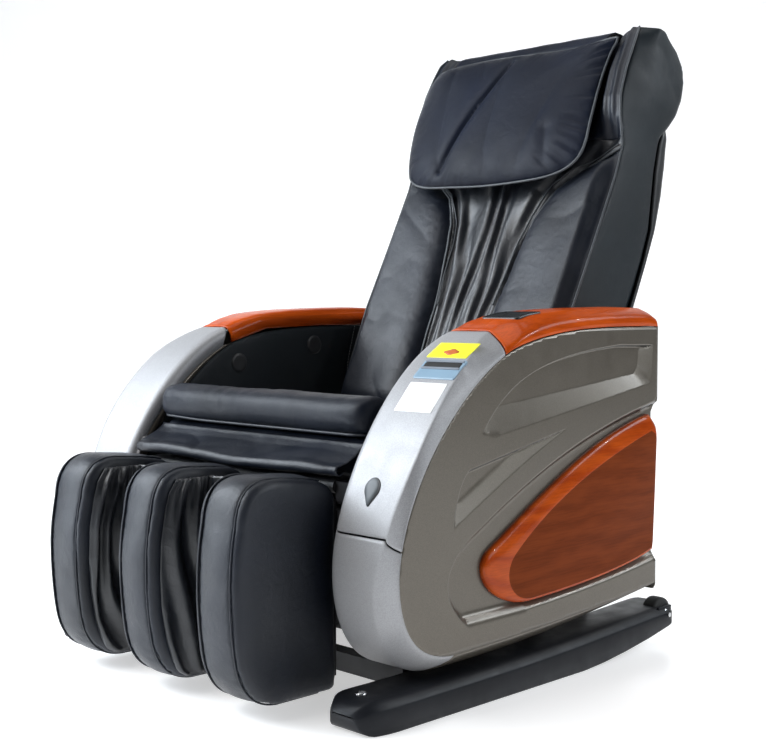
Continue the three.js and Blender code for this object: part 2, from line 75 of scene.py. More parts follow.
BACK_PIVOT = (180.0, 340.0)
SHIFT = JOINTS["back_recline"]["pos_m"][1] / MM - BACK_PIVOT[0]
OUTER = 400.0
PAY_INNER = 268.0
PLAIN_INNER = 278.0
SEAT_CENTRE = -5.0
COVER_SPLIT = 267.0
COVER_SPLIT_SIDE = 240.0
LIP = 16.0
PANEL_WALL = 2.5
ROLL_HALF = 258.0
CUSHION_HALF = 262.0
SKIN = 1.4
BACK_SKIN = 9.0
RUNNER_X = 348.0
RUNNER_NOSE = -412.0
WHEEL_X = 370.0
WHEEL_Y = 327.0
WHEEL_Z = 52.0
CAMERA_X = 1.6443
CAMERA_Y = -1.6284 + SHIFT * MM
CAMERA_Z = 0.589
CAMERA_TURN = math.radians(45)
CAMERA_DOWN = math.radians(2.859)
LENS = 61.37


# ---------------------------------------------------------------- places and curves
def place(x, y, z):
    return Vector((x, y + SHIFT, z)) * MM


def seat_place(x, y, z):
    return place(x + SEAT_CENTRE, y, z)


def back_place(x, v, w):
    y = BACK_PIVOT[0] + v * math.cos(BACK_LEAN) + w * math.sin(BACK_LEAN)
    z = BACK_PIVOT[1] - v * math.sin(BACK_LEAN) + w * math.cos(BACK_LEAN)
    return place(x + SEAT_CENTRE, y, z)


def bezier(a, b, c, d, count=20):
    """Points on a cubic, without the last one."""
    out = []
    for i in range(count):
        t = i / count
        k = ((1 - t) ** 3, 3 * t * (1 - t) ** 2, 3 * t * t * (1 - t), t ** 3)
        out.append(tuple(sum(w * p[n] for w, p in zip(k, (a, b, c, d))) for n in range(len(a))))
    return out


def arc3(a, b, c, count=16):
    """Points on a quadratic, without the last one."""
    return bezier(a, mix(a, b, 2 / 3), mix(c, b, 2 / 3), c, count)


def mix(a, b, t):
    return tuple(p + (q - p) * t for p, q in zip(a, b))


def smooth(x, low=0.0, high=1.0):
    """An eased step from 0 at low to 1 at high."""
    t = min(1.0, max(0.0, (x - low) / (high - low)))
    return t * t * (3 - 2 * t)


def resample(points, count, closed=False):
    """Evenly spaced points on a polyline."""
    pts = np.array(points + ([points[0]] if closed else []), float)
    steps = np.linalg.norm(np.diff(pts, axis=0), axis=1)
    along = np.concatenate([[0], np.cumsum(steps)])
    want = np.linspace(0, along[-1], count + 1 if closed else count)
    if closed:
        want = want[:-1]
    return [tuple(p) for p in np.stack([np.interp(want, along, pts[:, k])
                                        for k in range(pts.shape[1])], axis=1)]


def inward(points, distance):
    """Moves an open polyline to the left of its direction of travel."""
    pts = np.array(points, float)
    run = np.gradient(pts, axis=0)
    run /= np.linalg.norm(run, axis=1)[:, None]
    normal = np.stack([-run[:, 1], run[:, 0]], axis=1)
    return [tuple(p) for p in pts + normal * distance]


def distance_to(points, line):
    """Distance from each point (n, 2) to a polyline."""
    best = np.full(len(points), 1e9)
    line = np.array(line, float)
    for a, b in zip(line[:-1], line[1:]):
        ab = b - a
        length = max(1e-9, float(ab @ ab))
        t = np.clip(((points - a) @ ab) / length, 0, 1)
        best = np.minimum(best, np.linalg.norm(points - (a + t[:, None] * ab), axis=1))
    return best


def inside(points, ring):
    """Which points (n, 2) lie inside a closed ring."""
    ring = np.array(ring, float)
    result = np.zeros(len(points), bool)
    a = ring
    b = np.roll(ring, -1, axis=0)
    for p, q in zip(a, b):
        crosses = (p[1] > points[:, 1]) != (q[1] > points[:, 1])
        if p[1] == q[1]:
            continue
        at = (q[0] - p[0]) * (points[:, 1] - p[1]) / (q[1] - p[1]) + p[0]
        result ^= crosses & (points[:, 0] < at)
    return result


# ---------------------------------------------------------------- materials
def shader(name, colour, roughness, metallic=0.0, coat=0.0, coat_roughness=0.1, specular=0.5):
    """A Principled material, with its tree and its shader node."""
    material = bpy.data.materials.new(name)
    material.use_nodes = True
    principled = material.node_tree.nodes["Principled BSDF"]
    principled.inputs["Base Color"].default_value = (*colour, 1)
    principled.inputs["Roughness"].default_value = roughness
    principled.inputs["Metallic"].default_value = metallic
    principled.inputs["Coat Weight"].default_value = coat
    principled.inputs["Coat Roughness"].default_value = coat_roughness
    principled.inputs["Specular IOR Level"].default_value = specular
    return material, material.node_tree, principled


def coords(tree, scale=(1, 1, 1)):
    """Object coordinates in metres, scaled."""
    source = tree.nodes.new("ShaderNodeTexCoord")
    mapping = tree.nodes.new("ShaderNodeMapping")
    mapping.inputs["Scale"].default_value = scale
    tree.links.new(source.outputs["Object"], mapping.inputs["Vector"])
    return mapping.outputs["Vector"]


def noise_node(tree, vector, scale, detail=4.0, distortion=0.0, roughness=0.5):
    node = tree.nodes.new("ShaderNodeTexNoise")
    node.inputs["Scale"].default_value = scale
    node.inputs["Detail"].default_value = detail
    node.inputs["Distortion"].default_value = distortion
    node.inputs["Roughness"].default_value = roughness
    tree.links.new(vector, node.inputs["Vector"])
    return node.outputs["Fac"]


def ramp(tree, value, stops):
    node = tree.nodes.new("ShaderNodeValToRGB")
    elements = node.color_ramp.elements
    while len(elements) < len(stops):
        elements.new(0.5)
    for element, (at, colour) in zip(elements, stops):
        element.position = at
        element.color = (*colour, 1)
    tree.links.new(value, node.inputs["Fac"])
    return node.outputs["Color"]


def grey(value):
    return (value, value, value)


def vary_colour(tree, principled, source, stops):
    tree.links.new(ramp(tree, source, stops), principled.inputs["Base Color"])


def vary_roughness(tree, principled, source, low, high):
    """Runs the roughness from the value of one (place, roughness) stop to the other."""
    stops = [(low[0], grey(low[1])), (high[0], grey(high[1]))]
    tree.links.new(ramp(tree, source, stops), principled.inputs["Roughness"])


def bump(tree, principled, layers):
    """Stacks height layers (output, strength, distance in metres) into the normal."""
    last = None
    for value, strength, distance in layers:
        node = tree.nodes.new("ShaderNodeBump")
        node.inputs["Strength"].default_value = strength
        node.inputs["Distance"].default_value = distance
        tree.links.new(value, node.inputs["Height"])
        if last is not None:
            tree.links.new(last, node.inputs["Normal"])
        last = node.outputs["Normal"]
    tree.links.new(last, principled.inputs["Normal"])


def leather(name, dark, light, roughness=0.4, crease=0.35, specular=0.38, coat=0.06):
    """Grained leather with soft patches of tone and fine creases."""
    material, tree, principled = shader(name, dark, roughness, coat=coat, coat_roughness=0.32,
                                        specular=specular)
    vector = coords(tree)
    vary_colour(tree, principled, noise_node(tree, vector, 7, 5), [(0.3, dark), (0.75, light)])
    vary_roughness(tree, principled, noise_node(tree, vector, 22, 4), (0.3, roughness - 0.06),
                   (0.7, roughness + 0.1))
    grain = tree.nodes.new("ShaderNodeTexVoronoi")
    grain.feature = "DISTANCE_TO_EDGE"
    grain.inputs["Scale"].default_value = 620
    tree.links.new(vector, grain.inputs["Vector"])
    pebble = ramp(tree, grain.outputs["Distance"], [(0.0, grey(0.0)), (0.16, grey(1.0))])
    creases = noise_node(tree, vector, 48, 6, distortion=1.2)
    bump(tree, principled, [(creases, crease, 0.0022), (pebble, 0.28, 0.0004)])
    return material


def metallic_paint(name, colour, roughness=0.36, coat=0.35, metallic=0.55):
    """Metallic paint with fine flakes and a slightly uneven gloss."""
    material, tree, principled = shader(name, colour, roughness, metallic=metallic, coat=coat,
                                        coat_roughness=0.18)
    vector = coords(tree)
    flakes = tree.nodes.new("ShaderNodeTexVoronoi")
    flakes.inputs["Scale"].default_value = 1400
    tree.links.new(vector, flakes.inputs["Vector"])
    light = tuple(min(1.0, c * 1.16) for c in colour)
    deep = tuple(c * 0.88 for c in colour)
    vary_colour(tree, principled, flakes.outputs["Color"], [(0.2, deep), (0.8, light)])
    scuffs = noise_node(tree, vector, 30, 8, roughness=0.7)
    vary_roughness(tree, principled, scuffs, (0.35, roughness - 0.05), (0.7, roughness + 0.06))
    bump(tree, principled, [(noise_node(tree, vector, 260, 3), 0.05, 0.0004)])
    return material


def lacquered_wood(name, dark, light, roughness, coat, specular):
    """Stained wood under lacquer: wavy bands along the grain, broken by fine pores."""
    material, tree, principled = shader(name, dark, roughness, coat=coat, coat_roughness=0.04,
                                        specular=specular)
    vector = coords(tree, (1.0, 0.32, 1.0))
    wave = tree.nodes.new("ShaderNodeTexWave")
    wave.wave_type = "BANDS"
    wave.bands_direction = "Z"
    wave.inputs["Scale"].default_value = 9
    wave.inputs["Distortion"].default_value = 7.5
    wave.inputs["Detail"].default_value = 4
    wave.inputs["Detail Scale"].default_value = 2.2
    tree.links.new(vector, wave.inputs["Vector"])
    figure = ramp(tree, wave.outputs["Fac"], [(0.05, dark), (0.55, mix(dark, light, 0.6)), (1.0, light)])
    fine = coords(tree, (1.0, 0.05, 1.0))
    pores = ramp(tree, noise_node(tree, fine, 420, 3), [(0.38, grey(0.68)), (0.55, grey(1.0))])
    blend = tree.nodes.new("ShaderNodeMix")
    blend.data_type = "RGBA"
    blend.blend_type = "MULTIPLY"
    blend.inputs["Factor"].default_value = 0.45
    tree.links.new(figure, blend.inputs["A"])
    tree.links.new(pores, blend.inputs["B"])
    tree.links.new(blend.outputs["Result"], principled.inputs["Base Color"])
    vary_roughness(tree, principled, noise_node(tree, vector, 14, 3), (0.3, roughness),
                   (0.7, roughness + 0.1))
    return material


def plastic(name, colour, roughness=0.4, grain=500, strength=0.12, coat=0.0, specular=0.5):
    """Moulded plastic with a fine texture."""
    material, tree, principled = shader(name, colour, roughness, coat=coat, coat_roughness=0.15,
                                        specular=specular)
    vector = coords(tree)
    light = tuple(min(1.0, c * 1.35 + 0.004) for c in colour)
    vary_colour(tree, principled, noise_node(tree, vector, 11, 4), [(0.3, colour), (0.75, light)])
    vary_roughness(tree, principled, noise_node(tree, vector, 40, 6), (0.3, roughness - 0.05),
                   (0.7, roughness + 0.08))
    bump(tree, principled, [(noise_node(tree, vector, grain, 2), strength, 0.0004)])
    return material


def metal(name, colour, roughness):
    """Bare metal with faint scratches."""
    material, tree, principled = shader(name, colour, roughness, metallic=1.0)
    vector = coords(tree)
    vary_roughness(tree, principled, noise_node(tree, vector, 90, 6), (0.3, roughness - 0.06),
                   (0.75, roughness + 0.12))
    light = tuple(min(1.0, c * 1.15) for c in colour)
    vary_colour(tree, principled, noise_node(tree, vector, 35, 4), [(0.3, colour), (0.75, light)])
    bump(tree, principled, [(noise_node(tree, vector, 300, 2), 0.06, 0.0002)])
    return material


SILVER = metallic_paint("silver_paint_look", (0.126, 0.110, 0.088))
# A darker copy of the silver paint: painted shade for the downward walls of the side's recesses.
SHADED_WALL_SILVER = metallic_paint("painted_shade_wall_look", (0.040, 0.036, 0.031))
SILVER_FRONT = metallic_paint("silver_front_look", (0.33, 0.33, 0.34), 0.5, 0.05, 0.25)
CAP_WOOD = lacquered_wood("cap_wood_look", (0.47, 0.062, 0.004), (0.58, 0.084, 0.006), 0.24, 0.15,
                          0.05)
INSERT_RIM = lacquered_wood("insert_rim_look", (0.38, 0.048, 0.003), (0.50, 0.076, 0.006), 0.22, 0.25,
                            0.1)
INSERT_WOOD = lacquered_wood("insert_wood_look", (0.155, 0.030, 0.006), (0.190, 0.038, 0.008), 0.4, 0.03,
                             0.03)
LEATHER = leather("black_leather_look", (0.0040, 0.0058, 0.0105), (0.008, 0.0115, 0.021))
GATHERED = leather("gathered_leather_look", (0.0055, 0.0068, 0.0098), (0.011, 0.0135, 0.019), 0.34, 0.5,
                   0.62, 0.2)
SIDE_LEATHER = leather("side_leather_look", (0.0045, 0.0078, 0.0105), (0.009, 0.0145, 0.019), 0.46, 0.2,
                       0.3, 0.0)
PILLOW_LEATHER = leather("pillow_leather_look", (0.0038, 0.0056, 0.0115), (0.0075, 0.011, 0.023), 0.42, 0.3,
                         0.15, 0.0)
PIPING = leather("piping_look", (0.042, 0.048, 0.054), (0.075, 0.082, 0.090), 0.36, 0.1)
ROLL_LEATHER = leather("roll_leather_look", (0.0040, 0.0058, 0.0105), (0.008, 0.0115, 0.021), 0.38, 0.3,
                       0.22, 0.0)
THREAD = plastic("thread_look", (0.30, 0.30, 0.30), 0.6, 900, 0.3)
SHELL = plastic("black_shell_look", (0.010, 0.011, 0.012), 0.42, 420, 0.22)
RUNNER = plastic("runner_look", (0.007, 0.008, 0.011), 0.4, 500, 0.03, 0.0, 0.2)
STEEL = plastic("frame_steel_look", (0.02, 0.02, 0.022), 0.45, 300, 0.15)
BRIGHT = metal("bright_steel_look", (0.62, 0.63, 0.64), 0.22)
RUBBER = plastic("wheel_rubber_look", (0.010, 0.010, 0.010), 0.7, 700, 0.25)
GREY_PLASTIC = plastic("grey_plastic_look", (0.16, 0.18, 0.21), 0.4, 450, 0.12)
WINDOW = plastic("window_look", (0.006, 0.008, 0.009), 0.3, 60, 0.01, 0.0)
YELLOW = plastic("yellow_label_look", (0.86, 0.74, 0.012), 0.42, 300, 0.03)
BROWN = plastic("brown_mark_look", (0.42, 0.09, 0.010), 0.45, 300, 0.03)
WHITE = plastic("white_label_look", (0.80, 0.80, 0.78), 0.5, 300, 0.03)
PALE = plastic("pale_strip_look", (0.17, 0.26, 0.34), 0.35, 300, 0.03)
DROP_GREY = plastic("drop_grey_look", (0.055, 0.063, 0.070), 0.45, 450, 0.1)
# Near black: painted shade standing for the unlit inside of the bill slot.
SLOT_SHADE = plastic("painted_slot_shade_look", (0.004, 0.004, 0.004), 0.7, 300, 0.05)


# ---------------------------------------------------------------- mesh helpers
def piece(name, points, faces, material, body):
    """A smooth-shaded mesh that rides with a body."""
    mesh = bpy.data.meshes.new(name)
    mesh.from_pydata([tuple(p) for p in points], [], faces)
    mesh.validate()
    made = bpy.data.objects.new(name, mesh)
    bpy.context.scene.collection.objects.link(made)
    mesh.materials.append(material)
    for polygon in mesh.polygons:
        polygon.use_smooth = True
    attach(made, body)
    return made


def stand_in(node):
    """Hides the CAD solid that a mesh stands in for."""
    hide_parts(node)


def thicken(made, thickness, offset=-1):
    """Gives an open surface its thickness in millimetres, behind it unless offset says otherwise."""
    modifier = made.modifiers.new("thickness", "SOLIDIFY")
    modifier.thickness = thickness * MM
    modifier.offset = offset


def apply_modifiers(made):
    graph = bpy.context.evaluated_depsgraph_get()
    mesh = bpy.data.meshes.new_from_object(made.evaluated_get(graph))
    made.modifiers.clear()
    made.data = mesh


def grid_faces(rows, columns, wrap_rows=False, wrap_columns=False):
    faces = []
    for i in range(rows if wrap_rows else rows - 1):
        for j in range(columns if wrap_columns else columns - 1):
            a = i * columns + j
            b = i * columns + (j + 1) % columns
            c = ((i + 1) % rows) * columns + (j + 1) % columns
            d = ((i + 1) % rows) * columns + j
            faces.append((a, b, c, d))
    return faces


def flip_to_outside(made):
    """Turns all faces round if the closed mesh is inside out."""
    mesh = made.data
    volume = 0.0
    for polygon in mesh.polygons:
        corner = mesh.vertices[polygon.vertices[0]].co
        volume += corner.dot(polygon.normal) * polygon.area
    if volume < 0:
        mesh.flip_normals()
    return made


def loft(name, rings, material, body):
    """A closed solid through rings of equal length, with both ends filled."""
    count = len(rings[0])
    points = [p for ring in rings for p in ring]
    faces = grid_faces(len(rings), count, wrap_columns=True)
    faces.append(tuple(range(count))[::-1])
    faces.append(tuple(len(points) - count + i for i in range(count)))
    return flip_to_outside(piece(name, points, faces, material, body))


def sheet_grid(name, rows, material, body, thickness=0.0, flip=False):
    """An open surface through rows of points, given a thickness behind it."""
    points = [p for row in rows for p in row]
    faces = grid_faces(len(rows), len(rows[0]))
    if flip:
        faces = [face[::-1] for face in faces]
    made = piece(name, points, faces, material, body)
    if thickness:
        thicken(made, thickness)
    return made


def tube(name, points, radius, material, body, closed=False, sides=8):
    """A round cord through the points, swept in code so that it is a closed mesh."""
    pts = [Vector(p) for p in points]
    rings = []
    up = Vector((0.31, 0.17, 0.93)).normalized()
    total = len(pts)
    for i, p in enumerate(pts):
        before = pts[(i - 1) % total] if closed or i else pts[0]
        after = pts[(i + 1) % total] if closed or i < total - 1 else pts[-1]
        run = (after - before).normalized()
        side = run.cross(up).normalized()
        top = side.cross(run).normalized()
        rings.append([p + (side * math.cos(a) + top * math.sin(a)) * radius * MM
                      for a in (2 * math.pi * k / sides for k in range(sides))])
    if not closed:
        return loft(name, rings, material, body)
    points = [p for ring in rings for p in ring]
    faces = grid_faces(total, sides, wrap_rows=True, wrap_columns=True)
    return flip_to_outside(piece(name, points, faces, material, body))


def rounded_box(name, xs, ys, zs, radius, material, body):
    """A box between two values on each axis, with rounded edges."""
    points = [place(x, y, z) for x in xs for y in ys for z in zs]
    faces = [(0, 1, 3, 2), (4, 6, 7, 5), (0, 4, 5, 1), (2, 3, 7, 6), (0, 2, 6, 4), (1, 5, 7, 3)]
    made = flip_to_outside(piece(name, points, faces, material, body))
    modifier = made.modifiers.new("edges", "BEVEL")
    modifier.width = radius * MM
    modifier.segments = 3
    return made


def lathe(name, profile, centre, axis_turn, material, body, sides=40):
    """Turns a profile of (distance along the axis, radius) about X, then turns it by a matrix."""
    rings = []
    for along, radius in profile:
        ring = []
        for k in range(sides):
            a = 2 * math.pi * k / sides
            local = axis_turn @ Vector((along, radius * math.cos(a), radius * math.sin(a)))
            ring.append(place(*(Vector(centre) + local)))
        rings.append(ring)
    return loft(name, rings, material, body)


# ---------------------------------------------------------------- the arms
FRONT = (bezier((-110, 554), (-240, 520), (-368, 330), (-363, 200), 60)
         + bezier((-363, 200), (-361, 130), (-330, 62), (-250, 60), 30) + [(-250, 60)])
EDGE = (bezier((-124, 519), (-225, 472), (-345, 340), (-352, 215), 60)
        + bezier((-352, 215), (-352, 140), (-320, 92), (-240, 88), 30) + [(-240, 88)])
LINER = (bezier((-104, 524), (-200, 486), (-330, 330), (-334, 200), 60)
         + bezier((-334, 200), (-330, 140), (-300, 96), (-222, 93), 30) + [(-222, 93)])
FRONT_LOW = arc3((-250, 60), (60, 58), (287, 104), 40) + [(287, 104)]
EDGE_LOW = bezier((-240, 88), (-100, 92), (90, 98), (279, 118), 40) + [(279, 118)]
LINER_LOW = arc3((-222, 93), (60, 86), (264, 128), 40) + [(264, 128)]
FRONT_REAR = [(287, 104 + 453 * k / 30) for k in range(31)]
EDGE_REAR = [(279, 118 + 439 * k / 30) for k in range(31)]
LINER_REAR = [(264, 128 + 425 * k / 30) for k in range(31)]
FACE_CORNER = [(60, 44), (183, 42), (214, 36), (243, 29), (272, 22), (338, 12), (383, 7), (440, 7),
               (500, 12), (520, 20), (540, 34), (554, 44)]

UPPER_TOP = bezier((-176, 406), (-120, 480), (-40, 515), (169, 528), 40) + [(169, 528), (266, 526)]
UPPER_LOW = [(266, 526), (261, 462)] + arc3((261, 462), (60, 430), (-137, 400), 30)[1:] + [(-137, 400)]
UPPER_START = 7
UPPER_FALL = UPPER_LOW + [(-176, 404)]
UPPER_CREASE = (bezier(UPPER_TOP[UPPER_START], (-50, 450), (110, 467), (222, 479), 30)
                + [(222, 479), (232, 492), (236, 520)])
LOWER_TOP = arc3((-241, 270), (-232, 335), (-205, 354), 14) + [(-205, 354), (29, 400)]
LOWER_LOW = [(29, 400)] + arc3((29, 400), (-60, 365), (-137, 325), 16)[1:] + [(-137, 325), (-226, 279)]
SWOOSH = (bezier((-212, 126), (-268, 165), (-275, 222), (-182, 266), 24)
          + bezier((-182, 266), (-60, 335), (90, 400), (300, 436), 40) + [(300, 436), (300, 160)]
          + arc3((300, 160), (118, 133), (-88, 126), 24))


def face_y(z):
    """The y of the arm's front face at a height."""
    return float(np.interp(z, [p[1] for p in FRONT][::-1], [p[0] for p in FRONT][::-1]))


def on_line(line, t):
    """The point at share t of a line kept as an even list."""
    at = min(len(line) - 1.0001, max(0.0, t * (len(line) - 1)))
    k = int(at)
    return mix(line[k], line[k + 1], at - k)


def relief(points):
    """How far (n, 2) points of the arm's side lie below its outer face."""
    points = np.array(points, float)
    depth = np.zeros(len(points))
    ease = lambda d, width: (lambda t: t * t * (3 - 2 * t))(np.clip(d / width, 0, 1))
    held = inside(points, UPPER_TOP + UPPER_LOW)
    low = distance_to(points, UPPER_FALL)
    crease = distance_to(points, [(-200, 428)] + UPPER_CREASE)
    floor = inside(points, UPPER_TOP[UPPER_START:] + [(236, 520)] + UPPER_CREASE[::-1])
    slope = np.where(floor, 1.0, low / np.maximum(low + crease, 1e-6))
    depth = np.where(held, 10 * np.minimum(slope, ease(distance_to(points, UPPER_TOP), 3)), depth)
    held = inside(points, LOWER_TOP + LOWER_LOW)
    slope = np.clip(distance_to(points, LOWER_LOW + [LOWER_TOP[0]]) / 24, 0, 1)
    depth = np.where(held, 8 * np.minimum(slope, ease(distance_to(points, LOWER_TOP), 5)), depth)
    held = inside(points, SWOOSH)
    depth = np.where(held, 13 * ease(distance_to(points, SWOOSH + [SWOOSH[0]]), 13), depth)
    return depth


def relief_panel(name, side, material, body):
    """The arm's outer side: a fine mesh with its pressed recesses, whose downward walls carry painted shade.
    """
    top = bezier((279, 556), (150, 558), (-20, 560), (-124, 519), 90)
    ring = EDGE[:-1] + EDGE_LOW[:-1] + EDGE_REAR[:-1] + top
    ring = [p for p, q in zip(ring, ring[1:] + ring[:1]) if math.dist(p, q) > 0.3]
    lines = [UPPER_TOP, UPPER_LOW, UPPER_CREASE, LOWER_TOP, LOWER_LOW,
             [p for p in SWOOSH if p[0] < 279]]
    points = list(ring)
    edges = [(k, (k + 1) % len(ring)) for k in range(len(ring))]
    for line in lines:
        line = resample(line, max(8, int(sum(map(math.dist, line, line[1:])) / 3)))
        edges += [(len(points) + k, len(points) + k + 1) for k in range(len(line) - 1)]
        points += line
        for offset in (1.5, 3.2, 5.2, 8.0, 11.0):
            for rail in (inward(line, offset), inward(line, -offset)):
                rail = np.array(rail)
                keep = inside(rail, ring) & (distance_to(rail, line) > offset * 0.9)
                keep &= distance_to(rail, ring + ring[:1]) > 2
                points += [tuple(p) for p in rail[keep]]
    grid = np.array([(-352 + 5 * i + 2.5 * (j % 2), 60 + 5 * j) for j in range(102) for i in range(130)],
                    float)
    keep = inside(grid, ring) & (distance_to(grid, ring + ring[:1]) > 2)
    points += [tuple(p) for p in grid[keep]]
    flat = delaunay_2d_cdt([Vector(p) for p in points], edges, [], 1, 0.05)
    found = [(v.x, v.y) for v in flat[0]]
    depth = relief(found)
    made = [place(side * (OUTER - d), y, z) for (y, z), d in zip(found, depth)]
    faces = [tuple(face) if side > 0 else tuple(face)[::-1] for face in flat[2]]
    panel = piece(name, made, faces, material, body)
    # Faces that look downwards, the upper walls of the recesses, take the darker copy: painted shade where
    # the wall is out of the light.
    panel.data.materials.append(SHADED_WALL_SILVER)
    for polygon in panel.data.polygons:
        if polygon.normal.z < -0.5:
            polygon.material_index = 1
    thicken(panel, PANEL_WALL)
    return panel


# Shares of a rounded corner: how far across it, and how far from the face towards the outer edge.
RIM_CORNER = ((-0.02, 0.012), (0.04, 0.045), (0.16, 0.125), (0.4, 0.3), (0.64, 0.5), (0.84, 0.71),
              (0.95, 0.86))
CAP_CORNER = ((-0.02, 0.012), (0.05, 0.05), (0.18, 0.13), (0.4, 0.3), (0.64, 0.5), (0.84, 0.71),
              (0.95, 0.87))


def section(front, edge, liner, inner, side, corner, drop=0.0):
    """One row across the arm's rim, from its inner side over the face to the outer side."""
    f = Vector(front)
    e = Vector(edge)
    run = e - f
    depth = run.length
    back = run.normalized()
    face_corner = OUTER - drop - corner
    across = [(inner, liner), (inner, tuple(f + back * (LIP + 2)))]
    across += [(inner + lip_x, tuple(f + back * LIP * behind))
               for lip_x, behind in ((1.2, 0.62), (4.5, 0.28), (9.5, 0.07), (LIP, 0.0))]
    flat_from = inner + LIP
    flat_to = face_corner - 5
    for k in range(1, 7):
        across.append((flat_from + (flat_to - flat_from) * k / 6, tuple(f)))
    reach = OUTER - drop - face_corner
    for along, down in RIM_CORNER:
        across.append((face_corner + reach * along, tuple(f + back * depth * down)))
    across.append((OUTER - drop, tuple(e)))
    return [place(side * x, p[0], p[1]) for x, p in across]


def face_corner_at(z):
    """How far in from the outer side the front face starts to round, at a height."""
    return float(np.interp(z, [p[0] for p in FACE_CORNER], [p[1] for p in FACE_CORNER]))


def rim(name, lines, inner, side, material, body, start=None, stop=None, rows=70, corner=None,
        rear=False):
    """A stretch of the arm's rim between two shares, which may vary across it."""
    front, edge, liner = lines
    columns = len(section((0, 0), (0, 1), (0, 1), inner, side, 40))
    start = start or (lambda s: 0.0)
    stop = stop or (lambda s: 1.0)
    grid = []
    for i in range(rows + 1):
        cache = {}
        row = []
        for j in range(columns):
            share = j / (columns - 1)
            t = start(share) + (stop(share) - start(share)) * i / rows
            key = round(t, 6)
            if key not in cache:
                f = on_line(front, t)
                width = corner if corner else face_corner_at(f[1])
                e = on_line(edge, t)
                drop = float(relief([e])[0]) if rear else 0.0
                cache[key] = section(f, e, on_line(liner, t), inner, side, width, drop)
            row.append(cache[key][j])
        grid.append(row)
    return sheet_grid(name, grid, material, body, PANEL_WALL, flip=side > 0)


def seam_share(offset):
    """Where the seam crosses each column of the rim: level on the face, lower at the outer side."""
    heights = [p[1] for p in FRONT][::-1]
    shares = [k / (len(FRONT) - 1) for k in range(len(FRONT))][::-1]
    level = float(np.interp(COVER_SPLIT - offset, heights, shares))
    low = float(np.interp(COVER_SPLIT_SIDE - offset, heights, shares))
    return lambda s: level + (low - level) * smooth(s, 0.6, 1.0)


def side_cap(name, inner, side, body):
    """The lacquered top of an arm, in rounded sections from front to back."""
    top = resample([(-110, 555), (-69, 568), (-32, 576), (5, 580), (56, 584), (136, 587), (221, 588.5),
                    (262, 587.5), (280, 582), (286, 572), (287, 558)], 60)
    outer = resample([(-124, 520), (-90, 541), (-50, 554), (0, 562), (56, 567), (136, 571), (221, 573),
                      (258, 572), (273, 568), (279, 563), (279.5, 558)], 60)
    low = resample(bezier((-124, 519), (-20, 560), (150, 558), (279, 556.5), 40) + [(279, 556.5)], 60)
    liner = resample([(-104, 526), (-20, 550), (120, 555), (264, 554)], 60)
    rows = []
    for k in range(60):
        t = k / 59
        t_point = Vector(top[k])
        o_point = Vector(outer[k])
        l_point = Vector(low[k])
        i_point = Vector(liner[k])
        proud = 1.2 * smooth(t, 0.0, 0.02)
        corner = 44 - 16 * smooth(t, 0.0, 0.3)
        row = [(inner, i_point), (inner, t_point + (i_point - t_point).normalized() * LIP)]
        row += [(inner + lip_x, t_point.lerp(i_point, share))
                for lip_x, share in ((1.4, 0.36), (4.5, 0.18), (9.5, 0.05), (LIP, 0.0))]
        for step in range(1, 8):
            share = step / 7
            x = inner + LIP + (OUTER - corner - 5 - inner - LIP) * share
            row.append((x, t_point + Vector((0, 0.8 * math.sin(math.pi * share)))))
        for along, down in CAP_CORNER:
            row.append((OUTER - corner + corner * along, t_point.lerp(o_point, down)))
        gap = (o_point - l_point) * min(0.4, 1.6 / max(1.0, (o_point - l_point).length))
        row.append((OUTER - 0.3, o_point.lerp(l_point, 0.2)))
        row.append((OUTER, o_point.lerp(l_point + gap, 0.6)))
        row.append((OUTER - 0.3, l_point + gap))
        row.append((OUTER - 4.0, l_point + gap * 0.6))
        rows.append([place(side * x, p[0], p[1] + (proud if p[1] > 560 else 0)) for x, p in row])
    return sheet_grid(name, rows, CAP_WOOD, body, 4, flip=side < 0)


def wood_insert(name, side, body):
    """The lacquered side insert: a shield with a broad rounded chamfer on its front and top."""
    depth_at = OUTER - 13
    outer = [bezier((-64, 138), (-150, 138), (-200, 205), (-148, 232), 30),
             bezier((-148, 232), (-40, 290), (100, 380), (262, 408), 50),
             [(262, 408), (280, 391), (283, 380), (279, 280), (273, 180)],
             bezier((272, 174), (200, 152), (40, 140), (-64, 138), 40)]
    face = [bezier((-60, 144), (-108, 142), (-135, 186), (-102, 216), 30),
            bezier((-102, 216), (-20, 283), (100, 336), (258, 379), 50),
            [(262, 380), (274, 374), (277, 366), (273, 280), (268, 184)],
            bezier((266, 180), (200, 158), (40, 147), (-60, 144), 40)]
    counts = (26, 60, 30, 50)
    rings = []
    for share, lift in ((0.0, 0.0), (0.02, 6.0), (0.08, 8.6), (0.22, 10.6), (0.45, 12.4), (0.7, 13.6),
                        (0.93, 14.1), (1.0, 14.2)):
        ring = []
        for a, b, count in zip(outer, face, counts):
            a = resample(a, count + 1)[:-1]
            b = resample(b, count + 1)[:-1]
            ring += [place(side * (depth_at + lift), *mix(p, q, share)) for p, q in zip(a, b)]
        rings.append(ring)
    made = loft(name, rings, INSERT_RIM, body)
    made.data.materials.append(INSERT_WOOD)
    made.data.polygons[-1].material_index = 1
    return made


